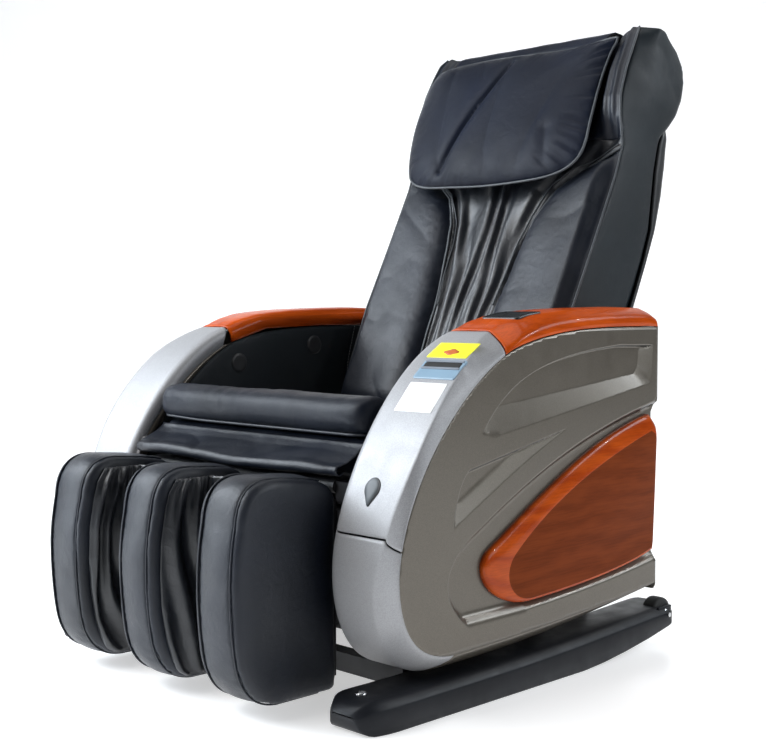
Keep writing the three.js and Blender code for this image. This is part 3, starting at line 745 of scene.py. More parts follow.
def inner_panel(name, inner, side, body):
    """The dark padded lining on an arm's inner side, with two round buttons and a stitched seam."""
    top = bezier((264, 552), (150, 555), (-20, 556), (-104, 524), 40)
    ring = LINER[:-1] + LINER_LOW[:-1] + [(264, 128), (264, 552)] + top[1:]
    ring = [p for p, q in zip(ring, ring[1:] + ring[:1]) if math.dist(p, q) > 0.3]
    seam = [(207, 553), (188, 484), (179, 413), (176, 330)]
    grid = np.array([(-340 + 7 * i, 90 + 7 * j) for j in range(68) for i in range(88)], float)
    rail = np.array([p for offset in (-4, -2, 0, 2, 4) for p in inward(resample(seam, 60), offset)])
    grid = np.concatenate([grid, rail])
    keep = inside(grid, ring) & (distance_to(grid, ring + ring[:1]) > 3)
    points = list(ring) + [tuple(p) for p in grid[keep]]
    edges = [(k, (k + 1) % len(ring)) for k in range(len(ring))]
    flat = delaunay_2d_cdt([Vector(p) for p in points], edges, [], 1, 0.05)
    found = np.array([(v.x, v.y) for v in flat[0]])
    rise = 3.4 * np.clip(distance_to(found, ring + ring[:1]) / 14, 0, 1) ** 0.5
    rise -= 2.2 * np.exp(-(distance_to(found, seam) / 2.6) ** 2)
    made = []
    for (y, z), lift in zip(found, rise):
        wave = 0.7 * noise.noise(Vector((y * 0.012, z * 0.016, side))) * min(1.0, lift)
        made.append(place(side * (inner + 1.0 - lift * 0.4 - wave * 0.4), y, z))
    faces = [tuple(face)[::-1] if side > 0 else tuple(face) for face in flat[2]]
    panel = piece(name, made, faces, SIDE_LEATHER, body)
    thicken(panel, PANEL_WALL)
    button = [(0, 18.5), (1.2, 18.3), (2.2, 17), (2.6, 13), (2.0, 5), (1.9, 0.6)]
    facing = Matrix.Rotation(math.pi if side > 0 else 0, 3, "Z")
    for k, (y, z) in enumerate(((-88, 486), (101, 516))):
        lathe(f"{name}_disc_{k}", button, (side * (inner + 0.4), y, z), facing, SHELL, body)
    stitch_row(f"{name}_stitch", [place(side * (inner - 0.7), y + 5, z) for y, z in resample(seam[:3], 40)],
               body)
    return panel


def stitch_row(name, points, body, length=3.6, gap=2.0, radius=0.42):
    """Short threads along a line, as one mesh."""
    pts = resample([tuple(p) for p in points], 400)
    total = sum(math.dist(a, b) for a, b in zip(pts, pts[1:])) / MM
    count = max(2, int(total / (length + gap)))
    verts = []
    faces = []
    for k in range(count):
        a = Vector(pts[int((k + 0.1) / count * 399)])
        b = Vector(pts[min(399, int((k + 0.1 + length / (length + gap)) / count * 399))])
        if (b - a).length < 1e-5:
            continue
        run = (b - a).normalized()
        one = run.orthogonal().normalized()
        two = run.cross(one)
        base = len(verts)
        for end, size in ((a, 0.5), (a.lerp(b, 0.2), 1.0), (a.lerp(b, 0.8), 1.0), (b, 0.5)):
            for q in range(6):
                t = math.pi * q / 3
                verts.append(end + (one * math.cos(t) + two * math.sin(t)) * radius * MM * size)
        for ring in range(3):
            for q in range(6):
                faces.append((base + ring * 6 + q, base + ring * 6 + (q + 1) % 6,
                              base + (ring + 1) * 6 + (q + 1) % 6, base + (ring + 1) * 6 + q))
        faces.append(tuple(base + q for q in range(6))[::-1])
        faces.append(tuple(base + 18 + q for q in range(6)))
    return piece(name, verts, faces, THREAD, body)


def face_patch(name, x0, x1, z0, z1, lift, thickness, material, body, radius):
    """A thin plate on the pay arm's face, with rounded corners."""
    ring = []
    for cx, cz, start in ((x1 - radius, z1 - radius, 0), (x0 + radius, z1 - radius, 90),
                          (x0 + radius, z0 + radius, 180), (x1 - radius, z0 + radius, 270)):
        for k in range(5):
            a = math.radians(start + 22.5 * k)
            ring.append((cx + radius * math.cos(a), cz + radius * math.sin(a)))

    def on_face(x, z, out):
        slope = (face_y(z + 2) - face_y(z - 2)) / 4
        size = math.hypot(1, slope)
        return place(x, face_y(z) - out / size, z + out * slope / size)

    middle = ((x0 + x1) / 2, (z0 + z1) / 2)
    rings = []
    for shrink, out in ((0, lift - thickness), (0, lift - 0.15), (0.25, lift)):
        rings.append([on_face(*mix(p, middle, shrink / max(1.0, math.dist(p, middle))), out) for p in ring])
    for share in (0.15, 0.5):
        rings.append([on_face(*mix(p, middle, share), lift) for p in ring])
    return loft(name, rings, material, body)


def teardrop(name, centre_x, top, bottom, width, lift, thickness, material, body):
    """A drop-shaped plate on the pay arm's face."""
    radius = width / 2
    ring = []
    middle = top - radius
    for k in range(25):
        a = math.radians(-30 + 240 * k / 24)
        ring.append((centre_x + radius * math.cos(a), middle + radius * math.sin(a)))
    tip = [(centre_x - 3.5, bottom + 3), (centre_x - 1.5, bottom), (centre_x + 1.5, bottom),
           (centre_x + 3.5, bottom + 3)]
    ring += resample([ring[-1], tip[0]], 8)[1:] + tip[1:3] + resample([tip[3], ring[0]], 8)[:-1]
    rings = []
    for shrink, out in ((0.0, lift - thickness), (0.0, lift - 0.6), (0.06, lift), (0.5, lift + 0.2)):
        row = []
        for x, z in ring:
            x, z = mix((x, z), (centre_x, middle), shrink)
            row.append(place(x, face_y(z) - out, z))
        rings.append(row)
    return loft(name, rings, material, body)


def build_arm(side, inner, word):
    """One arm; on the pay side the front cover is the door, and rides with it."""
    door_body = "door" if side > 0 else "base"
    lines = (FRONT, EDGE, EDGE)
    cover_name = "front_door_left" if side > 0 else "front_cover_right"
    cover = rim(f"{cover_name}_look", lines, inner, side, SILVER_FRONT, door_body,
                start=lambda s: 0.006, stop=seam_share(-1.3), rows=80)
    stand_in(cover_name)
    lower = rim(f"lower_cover_{word}_look", lines, inner, side, SILVER_FRONT, "base",
                start=seam_share(1.5), stop=lambda s: 1.0, rows=50)
    stand_in(f"lower_cover_{word}")
    low = rim(f"arm_shell_{word}_under", (FRONT_LOW, EDGE_LOW, LINER_LOW), inner, side, SILVER, "base",
              rows=50, corner=40)
    rear = rim(f"arm_shell_{word}_rear", (FRONT_REAR, EDGE_REAR, LINER_REAR), inner, side, SILVER, "base",
               rows=80, corner=9, rear=True)
    panel = relief_panel(f"arm_shell_{word}_side", side, SILVER, "base")
    strip = [[place(side * (inner + 0.2), y, z) for y, z in line] for line in (EDGE, LINER)]
    lining = sheet_grid(f"arm_shell_{word}_lining", strip, SILVER, "base", 2, flip=side > 0)
    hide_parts(f"arm_shell_{word}")
    cap = side_cap(f"arm_cap_{word}_look", inner, side, "base")
    stand_in(f"arm_cap_{word}")
    insert = wood_insert(f"side_insert_{word}_look", side, "base")
    stand_in(f"side_insert_{word}")
    liner = inner_panel(f"arm_inner_panel_{word}_look", inner, side, "base")
    stand_in(f"arm_inner_panel_{word}")


build_arm(1, PAY_INNER, "left")
build_arm(-1, PLAIN_INNER, "right")


# ---------------------------------------------------------------- wrinkles
def wrinkle(p, scale, stretch=(1, 1, 1), seed=0.0, sharp=1.0):
    """Ridged noise from 0 to 1 at a point in millimetres."""
    q = Vector((p[0] * stretch[0] + seed, p[1] * stretch[1] - seed, p[2] * stretch[2] + 2 * seed)) / scale
    value = 1 - abs(noise.noise(q)) * 2
    return max(0.0, value) ** sharp


def cord_on(name, points, radius, body, material=PIPING):
    """Piping along a seam."""
    made = tube(name, points, radius, material, body)
    return made


# ---------------------------------------------------------------- calf pads and their linings
PAD_RING = ([(-330, 20), (-430, 20)] + arc3((-430, 20), (-492, 25), (-505, 92), 12)[1:]
            + arc3((-505, 92), (-523, 200), (-504, 285), 20) + arc3((-504, 285), (-498, 350), (-440, 348), 14)
            + [(-440, 348), (-372, 342)] + arc3((-372, 342), (-322, 336), (-321, 306), 8) + [(-321, 306),
            (-321, 40), (-324, 24)])
PAD_MIDDLE = (-414, 186)


def pad_front(z):
    """The y of a calf pad's front at a height."""
    heights = [20, 26, 40, 60, 90, 140, 190, 240, 285, 312, 332, 344, 349]
    fronts = [-430, -463, -484, -494, -504, -512, -514, -512, -504, -496, -482, -462, -432]
    return float(np.interp(z, heights, fronts))


def inset_ring(ring, distance):
    """The closed ring moved towards its middle by a distance."""
    middle = Vector(PAD_MIDDLE)
    out = []
    for p in ring:
        arm = Vector(p) - middle
        out.append(tuple(middle + arm * max(0.0, 1 - distance / arm.length)))
    return out


def calf_pad(word, centre, half, seed):
    """A boxed calf pad: domed sides, a piped seam near each edge, and small puckers along it."""
    ring = resample(PAD_RING, 230, closed=True)
    seam = half - 17
    stations = [(-half - 1.4 + 1.4 * (k / 15) ** 2, None, 0.02 + 0.84 * k / 15) for k in range(16)]
    stations += [(-half + 0.8, 16, 1), (-half + 2.6, 9, 1), (-half + 5.4, 4.6, 1), (-half + 9.0, 2.2, 1),
                 (-half + 13, 1.4, 1), (-seam - 1.8, 1.8, 1), (-seam, 4.2, 1), (-seam + 1.8, 1.4, 1),
                 (-seam + 4, 0.4, 1)]
    half_count = len(stations)
    stations += [(-seam + 4 + (2 * seam - 8) * k / 12, 0.3 - 2.6 * math.sin(math.pi * k / 12), 1)
                 for k in range(1, 12)]
    stations += [(-x, inset, size) for x, inset, size in stations[:half_count][::-1]]
    middle = Vector(PAD_MIDDLE)
    rings = []
    for x, inset, size in stations:
        row = []
        for y, z in inset_ring(ring, 20 if inset is None else inset):
            point = middle + (Vector((y, z)) - middle) * size
            y, z = point
            near = math.exp(-abs(abs(x) - seam) / 7)
            low = smooth(150 - z, 0, 110) * math.exp(-abs(x - seam) / 16)
            shift = 1.5 * near * wrinkle((x, y, z), 11, (0.5, 1, 1), seed, 3)
            shift += 3.0 * low * wrinkle((x, y, z), 20, (0.4, 1, 1), seed + 5, 3)
            shift += 1.8 * noise.noise(Vector((x / 60, y / 55, z / 70 + seed)))
            if size == 1:
                point = point - (point - middle).normalized() * shift
            bulge = 1.5 * noise.noise(Vector((seed, y / 70, z / 60))) if abs(x) > half - 3 else 0.0
            sign = 1 if x > 0 else -1
            row.append(seat_place(centre + x + bulge * sign, point.x, max(20.5, point.y)))
        rings.append(row)
    made = loft(f"calf_pad_{word}_look", rings, LEATHER, "legrest")
    stand_in(f"calf_pad_{word}")
    run = [p for p in resample(PAD_RING, 200, closed=True) if p[0] < -345]
    run = sorted(run, key=lambda p: math.atan2(p[1] - 186, p[0] + 380) % (2 * math.pi))
    for sign in (-1, 1):
        edge = [seat_place(centre + sign * (seam + 2.6), *q) for q in inset_ring(run, 1.0)]
        cord_on(f"calf_pad_{word}_piping_{'a' if sign < 0 else 'b'}", edge, 1.5, "legrest", LEATHER)
    return made


def calf_liner(word, x0, x1, seed):
    """Gathered leather lining the well between two calf pads, from one pad's side to the other's."""
    along = 90
    up = 70
    grid = []
    for i in range(up):
        z = 30 + 302 * i / (up - 1)
        t = (z - 30) / 302
        front = pad_front(z) + 15
        back = -399
        depth = back - front
        path = []
        for k in range(along):
            s = k / (along - 1)
            if s < 0.4:
                q = s / 0.4
                path.append((x0 + 1.5, front + depth * q, 1.0, 0.0))
            elif s < 0.6:
                q = (s - 0.4) / 0.2
                path.append((x0 + 1.5 + (x1 - x0 - 3) * q, back, 0.0, -1.0))
            else:
                q = (s - 0.6) / 0.4
                path.append((x1 - 1.5, back - depth * q, -1.0, 0.0))
        row = []
        gather = 0.35 + 0.65 * math.sin(math.pi * min(1.0, max(0.0, t))) ** 0.6
        for k, (x, y, nx, ny) in enumerate(path):
            s = k / (along - 1)
            lean = 1.6 * noise.noise(Vector((s * 2.5, t * 1.6, seed)))
            fold = math.cos(2 * math.pi * (s * 6.5 + lean * 0.8) + seed)
            fold = (0.5 + 0.5 * fold) ** 1.4
            fold += 0.35 * math.cos(2 * math.pi * s * 21 + seed) * smooth(t, 0.72, 0.97)
            extra = 0.5 + 0.5 * noise.noise(Vector((s * 14, t * 3.0, seed + 3)))
            tie = math.sin(math.pi * min(1.0, s / 0.04, (1 - s) / 0.04) / 2)
            push = max(0.0, 13.0 * fold * gather + 4.0 * extra * gather) * tie + 1.0
            row.append(seat_place(x + nx * push, y + ny * push * 0.8, z))
        grid.append(row)
    made = sheet_grid(f"calf_liner_{word}_look", grid, GATHERED, "legrest", 1.6)
    stand_in(f"calf_liner_{word}")
    return made


calf_pad("left", 197, 51, 1.3)
calf_pad("centre", 0, 48, 4.1)
calf_pad("right", -197, 51, 7.7)
calf_liner("left", 48, 146, 0.7)
calf_liner("right", -146, -48, 3.9)


# ---------------------------------------------------------------- seat
def thigh_roll():
    """The roll along the seat's front edge, closed and puckered at both ends."""
    half = ROLL_HALF
    rings = []
    stations = [(-half, 0.02), (-half + 0.3, 0.3), (-half + 1.5, 0.55), (-half + 4, 0.74), (-half + 9, 0.88),
                (-half + 17, 0.965), (-half + 28, 1.0)]
    stations += [(-half + 28 + (2 * half - 56) * k / 60, 1.0) for k in range(1, 60)]
    stations += [(-x, size) for x, size in stations[:7][::-1]]
    for x, size in stations:
        ring = []
        for k in range(96):
            a = 2 * math.pi * k / 96
            dy = -40 * math.copysign(abs(math.cos(a)) ** 0.82, math.cos(a))
            dz = 32 * math.copysign(abs(math.sin(a)) ** 0.88, math.sin(a))
            y = -246 + dy * size
            z = 424 + dz * (0.35 + 0.65 * size)
            fold = wrinkle((x, y, z), 34, (1.4, 0.35, 0.35), 2.2, 2.5) * 2.0
            fold *= math.exp(-((x + 40) / 120) ** 2) * smooth(z, 392, 440)
            ends = smooth(abs(x), half - 90, half - 20) * wrinkle((x, y, z), 26, (0.8, 1, 1), 6.0, 3) * 1.6
            wave = 1.6 * noise.noise(Vector((x / 90, y / 60, z / 60)))
            pull = fold + ends + wave
            out = Vector((dy, dz)).normalized() * pull
            ring.append(seat_place(x, y - out.x, z - out.y))
        rings.append(ring)
    made = loft("thigh_roll_look", rings, ROLL_LEATHER, "base")
    stand_in("thigh_roll")
    line = [seat_place(x, -279 + 12 * smooth(abs(x), half - 26, half - 4), 398 + 3 * smooth(-x, 120, 250))
            for x in np.linspace(-half + 6, half - 6, 90)]
    cord_on("thigh_roll_piping", line, 2.2, "base", LEATHER)
    return made


def seat_cushion():
    """The broad cushion behind the roll, crowned, with a boxed front that shows under the roll."""
    profile = resample([(-268, 334), (-271, 352), (-270, 378), (-262, 389), (-230, 392), (-205, 396),
                        (-196, 408), (-180, 417), (-150, 421), (-100, 421), (0, 416), (70, 411),
                        (125, 407), (141, 401), (146, 389), (146, 345), (139, 335)], 130, closed=True)
    half = CUSHION_HALF
    rings = []
    middle = Vector((-70, 376))
    stations = [(-half + 0.3, 0.02), (-half + 0.3, 0.5), (-half + 0.8, 0.86), (-half + 3, 0.94),
                (-half + 8, 0.982), (-half + 16, 1.0)]
    stations += [(-half + 16 + (2 * half - 32) * k / 44, 1.0) for k in range(1, 44)]
    stations += [(-x, s) for x, s in stations[:6][::-1]]
    for x, size in stations:
        ring = []
        for y, z in profile:
            arm = Vector((y, z)) - middle
            q = middle + arm * size
            crown = 5 * (1 - (x / half) ** 2) * smooth(z, 395, 412)
            crown += 1.5 * noise.noise(Vector((x / 70, y / 70, 3.3))) * smooth(z, 395, 412)
            ring.append(seat_place(x, q.x, min(q.y + crown, 424)))
        rings.append(ring)
    made = loft("seat_cushion_look", rings, ROLL_LEATHER, "base")
    stand_in("seat_cushion")
    return made


def thin_leather(name, rows, material):
    """A single leather skin that rides with no one body."""
    made = sheet_grid(name, rows, material, "base", 0)
    made.parent = None
    made.matrix_world = Matrix.Identity(4)
    if "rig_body" in made:
        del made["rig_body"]
    thicken(made, SKIN, 0)
    apply_modifiers(made)
    return made


def seat_flap():
    """A loose leather apron from under the thigh roll to a rolled hem above the calf pads."""
    rows = []
    left = -262
    right = 250
    for k in range(110):
        s = k / 109
        x = left + (right - left) * s
        sway = 4.0 * math.sin(s * 7.2 + 0.6) + 3.0 * noise.noise(Vector((s * 5, 0.3, 1.0)))
        hem_y = -331 + sway * 0.6 + 6 * smooth(s, 0.93, 1.0) + 8 * smooth(0.06 - s, 0.0, 0.06)
        hem_z = 351 + sway * 0.8 + 3 * math.sin(math.pi * s)
        path = [(-268, 386), (-273, 380), (-284, 373), (-299, 367), (-314, 361), (hem_y + 6, hem_z + 5)]
        rounding = [(hem_y - 1, hem_z + 3), (hem_y - 4, hem_z - 3), (hem_y - 3, hem_z - 9),
                    (hem_y + 2, hem_z - 13), (hem_y + 8, hem_z - 12), (hem_y + 12, hem_z - 8)]
        line = resample(path + rounding, 40)
        row = []
        for q, (y, z) in enumerate(line):
            t = q / 39
            fold = 2.4 * wrinkle((x, y * 2, z * 2), 80, (1, 0.6, 0.6), 8.1, 1.5)
            fold *= math.sin(math.pi * min(1, t * 1.3))
            drag = 4.0 * smooth(s, 0.82, 1.0) * math.sin(math.pi * min(1.0, t * 1.2))
            row.append(seat_place(x, y + fold * 0.3, z - fold - drag))
        rows.append(row)
    made = thin_leather("seat_flap_look", rows, LEATHER)
    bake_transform(made)
    stand_in("seat_flap")
    return made


thigh_roll()
seat_cushion()
seat_flap()


# ---------------------------------------------------------------- the back
BACK_SEAM = [(66, 26), (72, 150), (77, 249), (85, 306), (93, 380), (104, 433), (118, 465), (135, 496),
             (180, 532), (228, 556), (262, 572)]
EDGE_DEPTH = [(26, -40), (120, -56), (245, -62), (392, -58), (519, -56), (580, -62), (625, -88), (660, -100),
              (719, -104), (770, -100), (800, -97), (820, -92)]
EDGE_X = [(26, 256), (240, 258), (571, 260), (620, 257), (678, 252), (760, 250), (800, 247), (820, 240)]


def lookup(table, value):
    """Reads a table of (place, value) at a place, or at an array of them."""
    return np.interp(value, [p[0] for p in table], [p[1] for p in table])


def back_front(points):
    """The depth v of the back's front leather at (n, 2) points of (x, w)."""
    points = np.array(points, float)
    ax = np.abs(points[:, 0])
    w = points[:, 1]
    sign = np.where(points[:, 0] < 0, -1.0, 1.0)
    seam_x = lookup([(b, a) for a, b in BACK_SEAM], w)
    seam_x = np.where(w > 572, 400.0, seam_x)
    distance = distance_to(np.stack([ax, w], axis=1), BACK_SEAM)
    outer = lookup(EDGE_X, w)
    edge_v = lookup(EDGE_DEPTH, w)
    to_edge = np.clip(outer - ax, 0, None)
    bolster = ax > seam_x
    ease = lambda t: t * t * (3 - 2 * t)
    rise = 1 - np.exp(-distance / 15)
    v_bolster = -50 - 33 * rise
    v_bolster += 2.2 * np.array([noise.noise(Vector((a * s / 70, b / 90, 5.0 * s))) for a, b, s in
                                 zip(ax, w, sign)])
    folds = np.array([wrinkle((a * s, b, 0), 78, (0.55, 1.0, 1), 11 + 3 * s, 2.0) for a, b, s in
                      zip(ax, w - ax * 0.7, sign)])
    v_bolster += 3.4 * folds * (0.35 + 0.65 * np.exp(-to_edge / 55)) * ease(np.clip(distance / 26, 0, 1))
    gathers = np.array([wrinkle((a * s, b, 0), 15, (0.5, 1.0, 1), 21 + s, 2) for a, b, s in
                        zip(ax, w - ax * 0.4, sign)])
    v_bolster += 2.4 * gathers * np.exp(-distance / 20)
    v_bolster = edge_v + (v_bolster - edge_v) * ease(np.clip(to_edge / 30, 0, 1))
    fan = np.maximum(seam_x, 66)
    fan = np.where(w > 572, 262.0, fan)
    fan = np.minimum(fan, 62 + np.clip(w - 380, 0, None) * 0.62 + 30)
    u = points[:, 0] / fan
    drift = np.array([noise.noise(Vector((a * 2.2, b / 170, 9.0))) for a, b in zip(u, w)])
    small = np.array([noise.noise(Vector((a * 7.0, b / 120, 3.0))) for a, b in zip(u, w)])
    wave = np.cos(2 * math.pi * (u * 2.7 + drift * 0.55) + 0.7)
    pleat = np.abs(wave) ** 0.75 * np.sign(wave)
    strength = 5.2 * ease(np.clip((w - 60) / 240, 0, 1))
    v_centre = -50 - 6 * (1 - np.exp(-distance / 22)) + strength * pleat + 2.6 * small
    v_centre -= 8 * ease(np.clip((w - 420) / 160, 0, 1))
    wing = ease(np.clip((ax - 168) / 62, 0, 1)) * ease(np.clip((w - 572) / 70, 0, 1))
    ripple = 2.6 * np.cos(2 * math.pi * (ax - 190) / 21 + (w - 600) / 60)
    v_hood = v_centre + (edge_v - 2 - v_centre) * wing + ripple * wing * ease(np.clip(to_edge / 16, 0, 1))
    v_hood = edge_v + (v_hood - edge_v) * ease(np.clip(to_edge / 14, 0, 1))
    over = np.clip((w - 780) / 38, 0, 1)
    v = np.where(bolster, v_bolster, v_hood)
    v = np.where(w > 780, v + over ** 2 * 26 * (1 - 0.85 * wing), v)
    low = np.clip((70 - w) / 44, 0, 1)
    return v + low ** 2 * 20


def back_surface():
    """The quilted front of the back, cut at its seams into the pad, two bolsters and the hood."""
    columns = 158
    rows = 232
    points = []
    for i in range(rows):
        w = 26 + (818 - 26) * i / (rows - 1)
        limit = float(lookup(EDGE_X, w))
        for j in range(columns):
            s = -1 + 2 * j / (columns - 1)
            points.append((limit * s, w))
    depths = back_front(points)
    placed = [back_place(x, v, w) for (x, w), v in zip(points, depths)]
    regions = {"back_pad": [], "bolster_left": [], "bolster_right": [], "back_hood": []}
    for face in grid_faces(rows, columns):
        x = sum(points[k][0] for k in face) / 4
        w = sum(points[k][1] for k in face) / 4
        seam_x = float(lookup([(b, a) for a, b in BACK_SEAM], w)) if w < 572 else 400
        if abs(x) > seam_x:
            regions["bolster_left" if x > 0 else "bolster_right"].append(face)
        elif w > 590:
            regions["back_hood"].append(face)
        else:
            regions["back_pad"].append(face)
    made = {}
    for name, faces in regions.items():
        used = sorted({k for face in faces for k in face})
        index = {k: n for n, k in enumerate(used)}
        mesh = piece(f"{name}_look", [placed[k] for k in used],
                     [tuple(index[k] for k in face) for face in faces],
                     GATHERED if name == "back_pad" else LEATHER, "back")
        thicken(mesh, BACK_SKIN)
        apply_modifiers(mesh)
        stand_in(name)
        made[name] = mesh
    return made


def seam_on_back(name, line, radius, rise):
    """Piping along a line of (x, w) on the back's front, standing a little proud of it."""
    line = resample(line, 150)
    depths = back_front(line)
    depths = np.convolve(np.pad(depths, 7, mode="edge"), np.ones(15) / 15, mode="valid")
    cord_on(name, [back_place(x, v - rise, w) for (x, w), v in zip(line, depths)], radius, "back")


def hood_wrap():
    """The hood's top and rear, one skin from wing to wing."""
    rows = []
    for j in range(120):
        s = -1 + 2 * j / 119
        ax = abs(s)
        dip = 5 * (1 - smooth(1 - ax, 0, 0.12))
        top_v = float(back_front([(s * float(lookup(EDGE_X, 806)), 806)])[0])
        path = [(top_v, 806), (-60, 820), (-35, 826), (0, 829), (24, 826), (52, 815), (68, 794), (76, 768),
                (76, 738), (69, 708), (54, 676), (40, 648)]
        line = resample(path, 46)
        row = []
        for k, (v, w) in enumerate(line):
            t = k / 45
            x = s * (247 + 12 * math.sin(math.pi * min(1.0, t * 1.2)))
            crease = 2.6 * wrinkle((x, v * 2, w), 40, (1.0, 0.7, 0.5), 31, 2.2) * math.sin(math.pi * t)
            middle = Vector((5, 745))
            arm = Vector((v, w)) - middle
            q = middle + arm * (1 - (dip + crease) / max(40.0, arm.length))
            row.append(back_place(x, q.x, q.y))
        rows.append(row)
    made = sheet_grid("back_hood_wrap", rows, LEATHER, "back", 6, flip=True)
    return made


SIDE_FRONT = [(-36, 30), (-54, 120), (-60, 245), (-56, 392), (-54, 519), (-60, 580), (-86, 625), (-98, 660),
              (-102, 719), (-99, 770), (-96, 798), (-88, 818)]
SIDE_REAR = [(90, 30), (97, 361), (96, 423), (91, 484), (73, 537), (55, 590), (44, 640), (44, 655),
             (60, 686), (74, 722), (77, 758), (69, 790), (50, 813), (20, 826), (-30, 828)]


def side_panel(word, side):
    """One leather side of the back, gently domed, from the front piping round to the rear shell."""
    front = resample(SIDE_FRONT, 120)
    rear = resample(SIDE_REAR, 120)
    rows = []
    for k in range(120):
        row = []
        f = front[k]
        r = rear[k]
        rim_x = float(lookup(EDGE_X, f[1]))
        for n in range(34):
            t = n / 33
            v, w = mix(f, r, t)
            dome = math.sin(math.pi * t) ** 0.6 * (3.0 + 5.0 * smooth(w, 300, 520) + 8 * smooth(w, 600, 720))
            crease = 3.0 * wrinkle((v, w, 0), 60, (0.6, 1, 1), 41 + side, 2) * smooth(w, 640, 800)
            crease *= math.sin(math.pi * t)
            wave = 1.4 * noise.noise(Vector((v / 80, w / 90, side * 2.0)))
            base = rim_x + (259 - rim_x) * smooth(t, 0, 0.35) - 5 * smooth(t, 0.88, 1.0)
            widest = 266 + 14 * smooth(w, 330, 640)
            x = side * min(base + dome - crease + wave * math.sin(math.pi * t), widest)
            row.append(back_place(x, v, w))
        rows.append(row)
    made = sheet_grid(f"back_side_{word}_look", rows, SIDE_LEATHER, "back", 5, flip=side < 0)
    stand_in(f"back_side_{word}")
    edge = [back_place(side * (float(lookup(EDGE_X, w)) + 0.5), v - 1.5, w) for v, w in
            resample(SIDE_FRONT, 140)]
    cord_on(f"back_edge_piping_{word}", edge, 2.1, "back")
    return made


back_surface()
for sign, word in ((1, "left"), (-1, "right")):
    run = [(sign * x, w) for x, w in BACK_SEAM]
    seam_on_back(f"bolster_piping_{word}", run, 2.8, 3.0)
    shifted = [(sign * (x - 7), w + 6) for x, w in BACK_SEAM[2:]]
    seam_on_back(f"bolster_seam_{word}", shifted, 1.3, 2.2)
    side_panel(word, sign)
hood_wrap()


# ---------------------------------------------------------------- head pillow
PILLOW_LINE = [(-206, 777), (-234, 760), (-244, 728), (-246, 650), (-236, 585), (-219, 533), (-200, 508),
               (-160, 494), (-85, 489), (0, 486), (85, 489), (145, 495), (184, 508), (206, 530), (212, 562),
               (208, 610), (204, 690), (207, 752), (213, 780), (200, 788), (115, 777), (20, 780), (-90, 784)]


def smooth_ring(points, count):
    """A closed Catmull-Rom curve through the points."""
    out = []
    total = len(points)
    for i in range(total):
        a, b, c, d = (points[(i + k - 1) % total] for k in range(4))
        for n in range(12):
            t = n / 12
            out.append(tuple(0.5 * (2 * q + (r - p) * t + (2 * p - 5 * q + 4 * r - s) * t * t
                                    + (3 * q - p - 3 * r + s) * t ** 3) for p, q, r, s in zip(a, b, c, d)))
    return resample(out, count, closed=True)


def head_pillow():
    """The flat head pillow, with one long crease, a dent and gathers along its edge."""
    ring = smooth_ring(PILLOW_LINE, 260)
    centre = Vector((-18, 636))
    crease = [(-20, 760), (-52, 688), (-88, 610), (-122, 520)]
    dent = [(128, 584), (136, 548), (140, 520)]
    middle_v = -106
    rings = []
    levels = [(0.01 + 0.99 * k / 62, 1) for k in range(62)]
    levels += [(1.0, 0)] + [(1 - 0.98 * k / 18, -1) for k in range(1, 19)]
    for size, face in levels:
        points = []
        flat = []
        for x, w in ring:
            arm = Vector((x, w)) - centre
            flat.append(tuple(centre + arm * size))
        to_crease = distance_to(np.array(flat), crease)
        to_dent = distance_to(np.array(flat), dent)
        height = (1 - size ** 3.6) ** 0.62 if size < 1 else 0.0
        for k, ((x, w), dc, dd) in enumerate(zip(flat, to_crease, to_dent)):
            rim = smooth(size, 0.72, 0.93) * (1 - smooth(size, 0.985, 1.0))
            gather = wrinkle((ring[k][0], ring[k][1], size * 14), 19, (1, 1, 0.5), 51, 2.2)
            corner = smooth(-ring[k][1], -600, -500) * smooth(-ring[k][0], 60, 160)
            pull = rim * gather * (1.4 + 4.6 * smooth(ring[k][0], 100, 190) + 2.0 * corner)
            wave = 4.0 * noise.noise(Vector((x / 110, w / 130, 2.4)))
            fold = 3.4 * wrinkle((x, w - x * 0.9, 0), 95, (1, 0.35, 1), 61, 2.5)
            thick = 31 * height
            if face > 0:
                thick -= (pull + fold * smooth(1 - size, 0.02, 0.3) - wave * height)
                thick -= 12.0 * math.exp(-(dc / 4.5)) * height + 3.0 * math.exp(-(dc / 16) ** 2) * height
                thick -= 4.0 * math.exp(-(dd / 9)) * height + 2.5 * math.exp(-(dd / 16) ** 2) * height
                v = middle_v - max(0.0, thick)
            else:
                v = middle_v + 20 * height
            points.append(back_place(x, v, w))
        rings.append(points)
    made = loft("head_pillow_look", rings, PILLOW_LEATHER, "pillow")
    stand_in("head_pillow")
    line = [back_place(x, middle_v, w) for x, w in smooth_ring(PILLOW_LINE, 300)]
    edge = tube("head_pillow_piping", line, 2.6, PIPING, "pillow", closed=True)
    return made


def pillow_strap():
    """The leather strip that hinges the pillow to the hood's top edge."""
    path = resample([(-44, 827), (-66, 824), (-86, 816), (-99, 803), (-104, 788), (-101, 776),
                     (-97, 766)], 34)
    rows = [[back_place(x, v - 1.2 * noise.noise(Vector((x / 40, w / 30, 1.0))), w) for v, w in path]
            for x in np.linspace(-192, 186, 70)]
    made = thin_leather("pillow_strap", rows, PILLOW_LEATHER)
    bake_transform(made)


head_pillow()
pillow_strap()


# ---------------------------------------------------------------- pay face
def oval(name, centre, size, lift, material, body):
    """A small oval mark on the pay arm's face."""
    rings = []
    for share, out in ((1.0, lift - 0.4), (1.0, lift), (0.5, lift + 0.02)):
        row = []
        for k in range(32):
            a = 2 * math.pi * k / 32
            x = centre[0] + size[0] * share * math.cos(a)
            z = centre[1] + size[1] * share * math.sin(a) * (1 + 0.25 * math.cos(4 * a))
            row.append(place(x, face_y(z) - out * 0.707, z + out * 0.707))
        rings.append(row)
    return loft(name, rings, material, body)


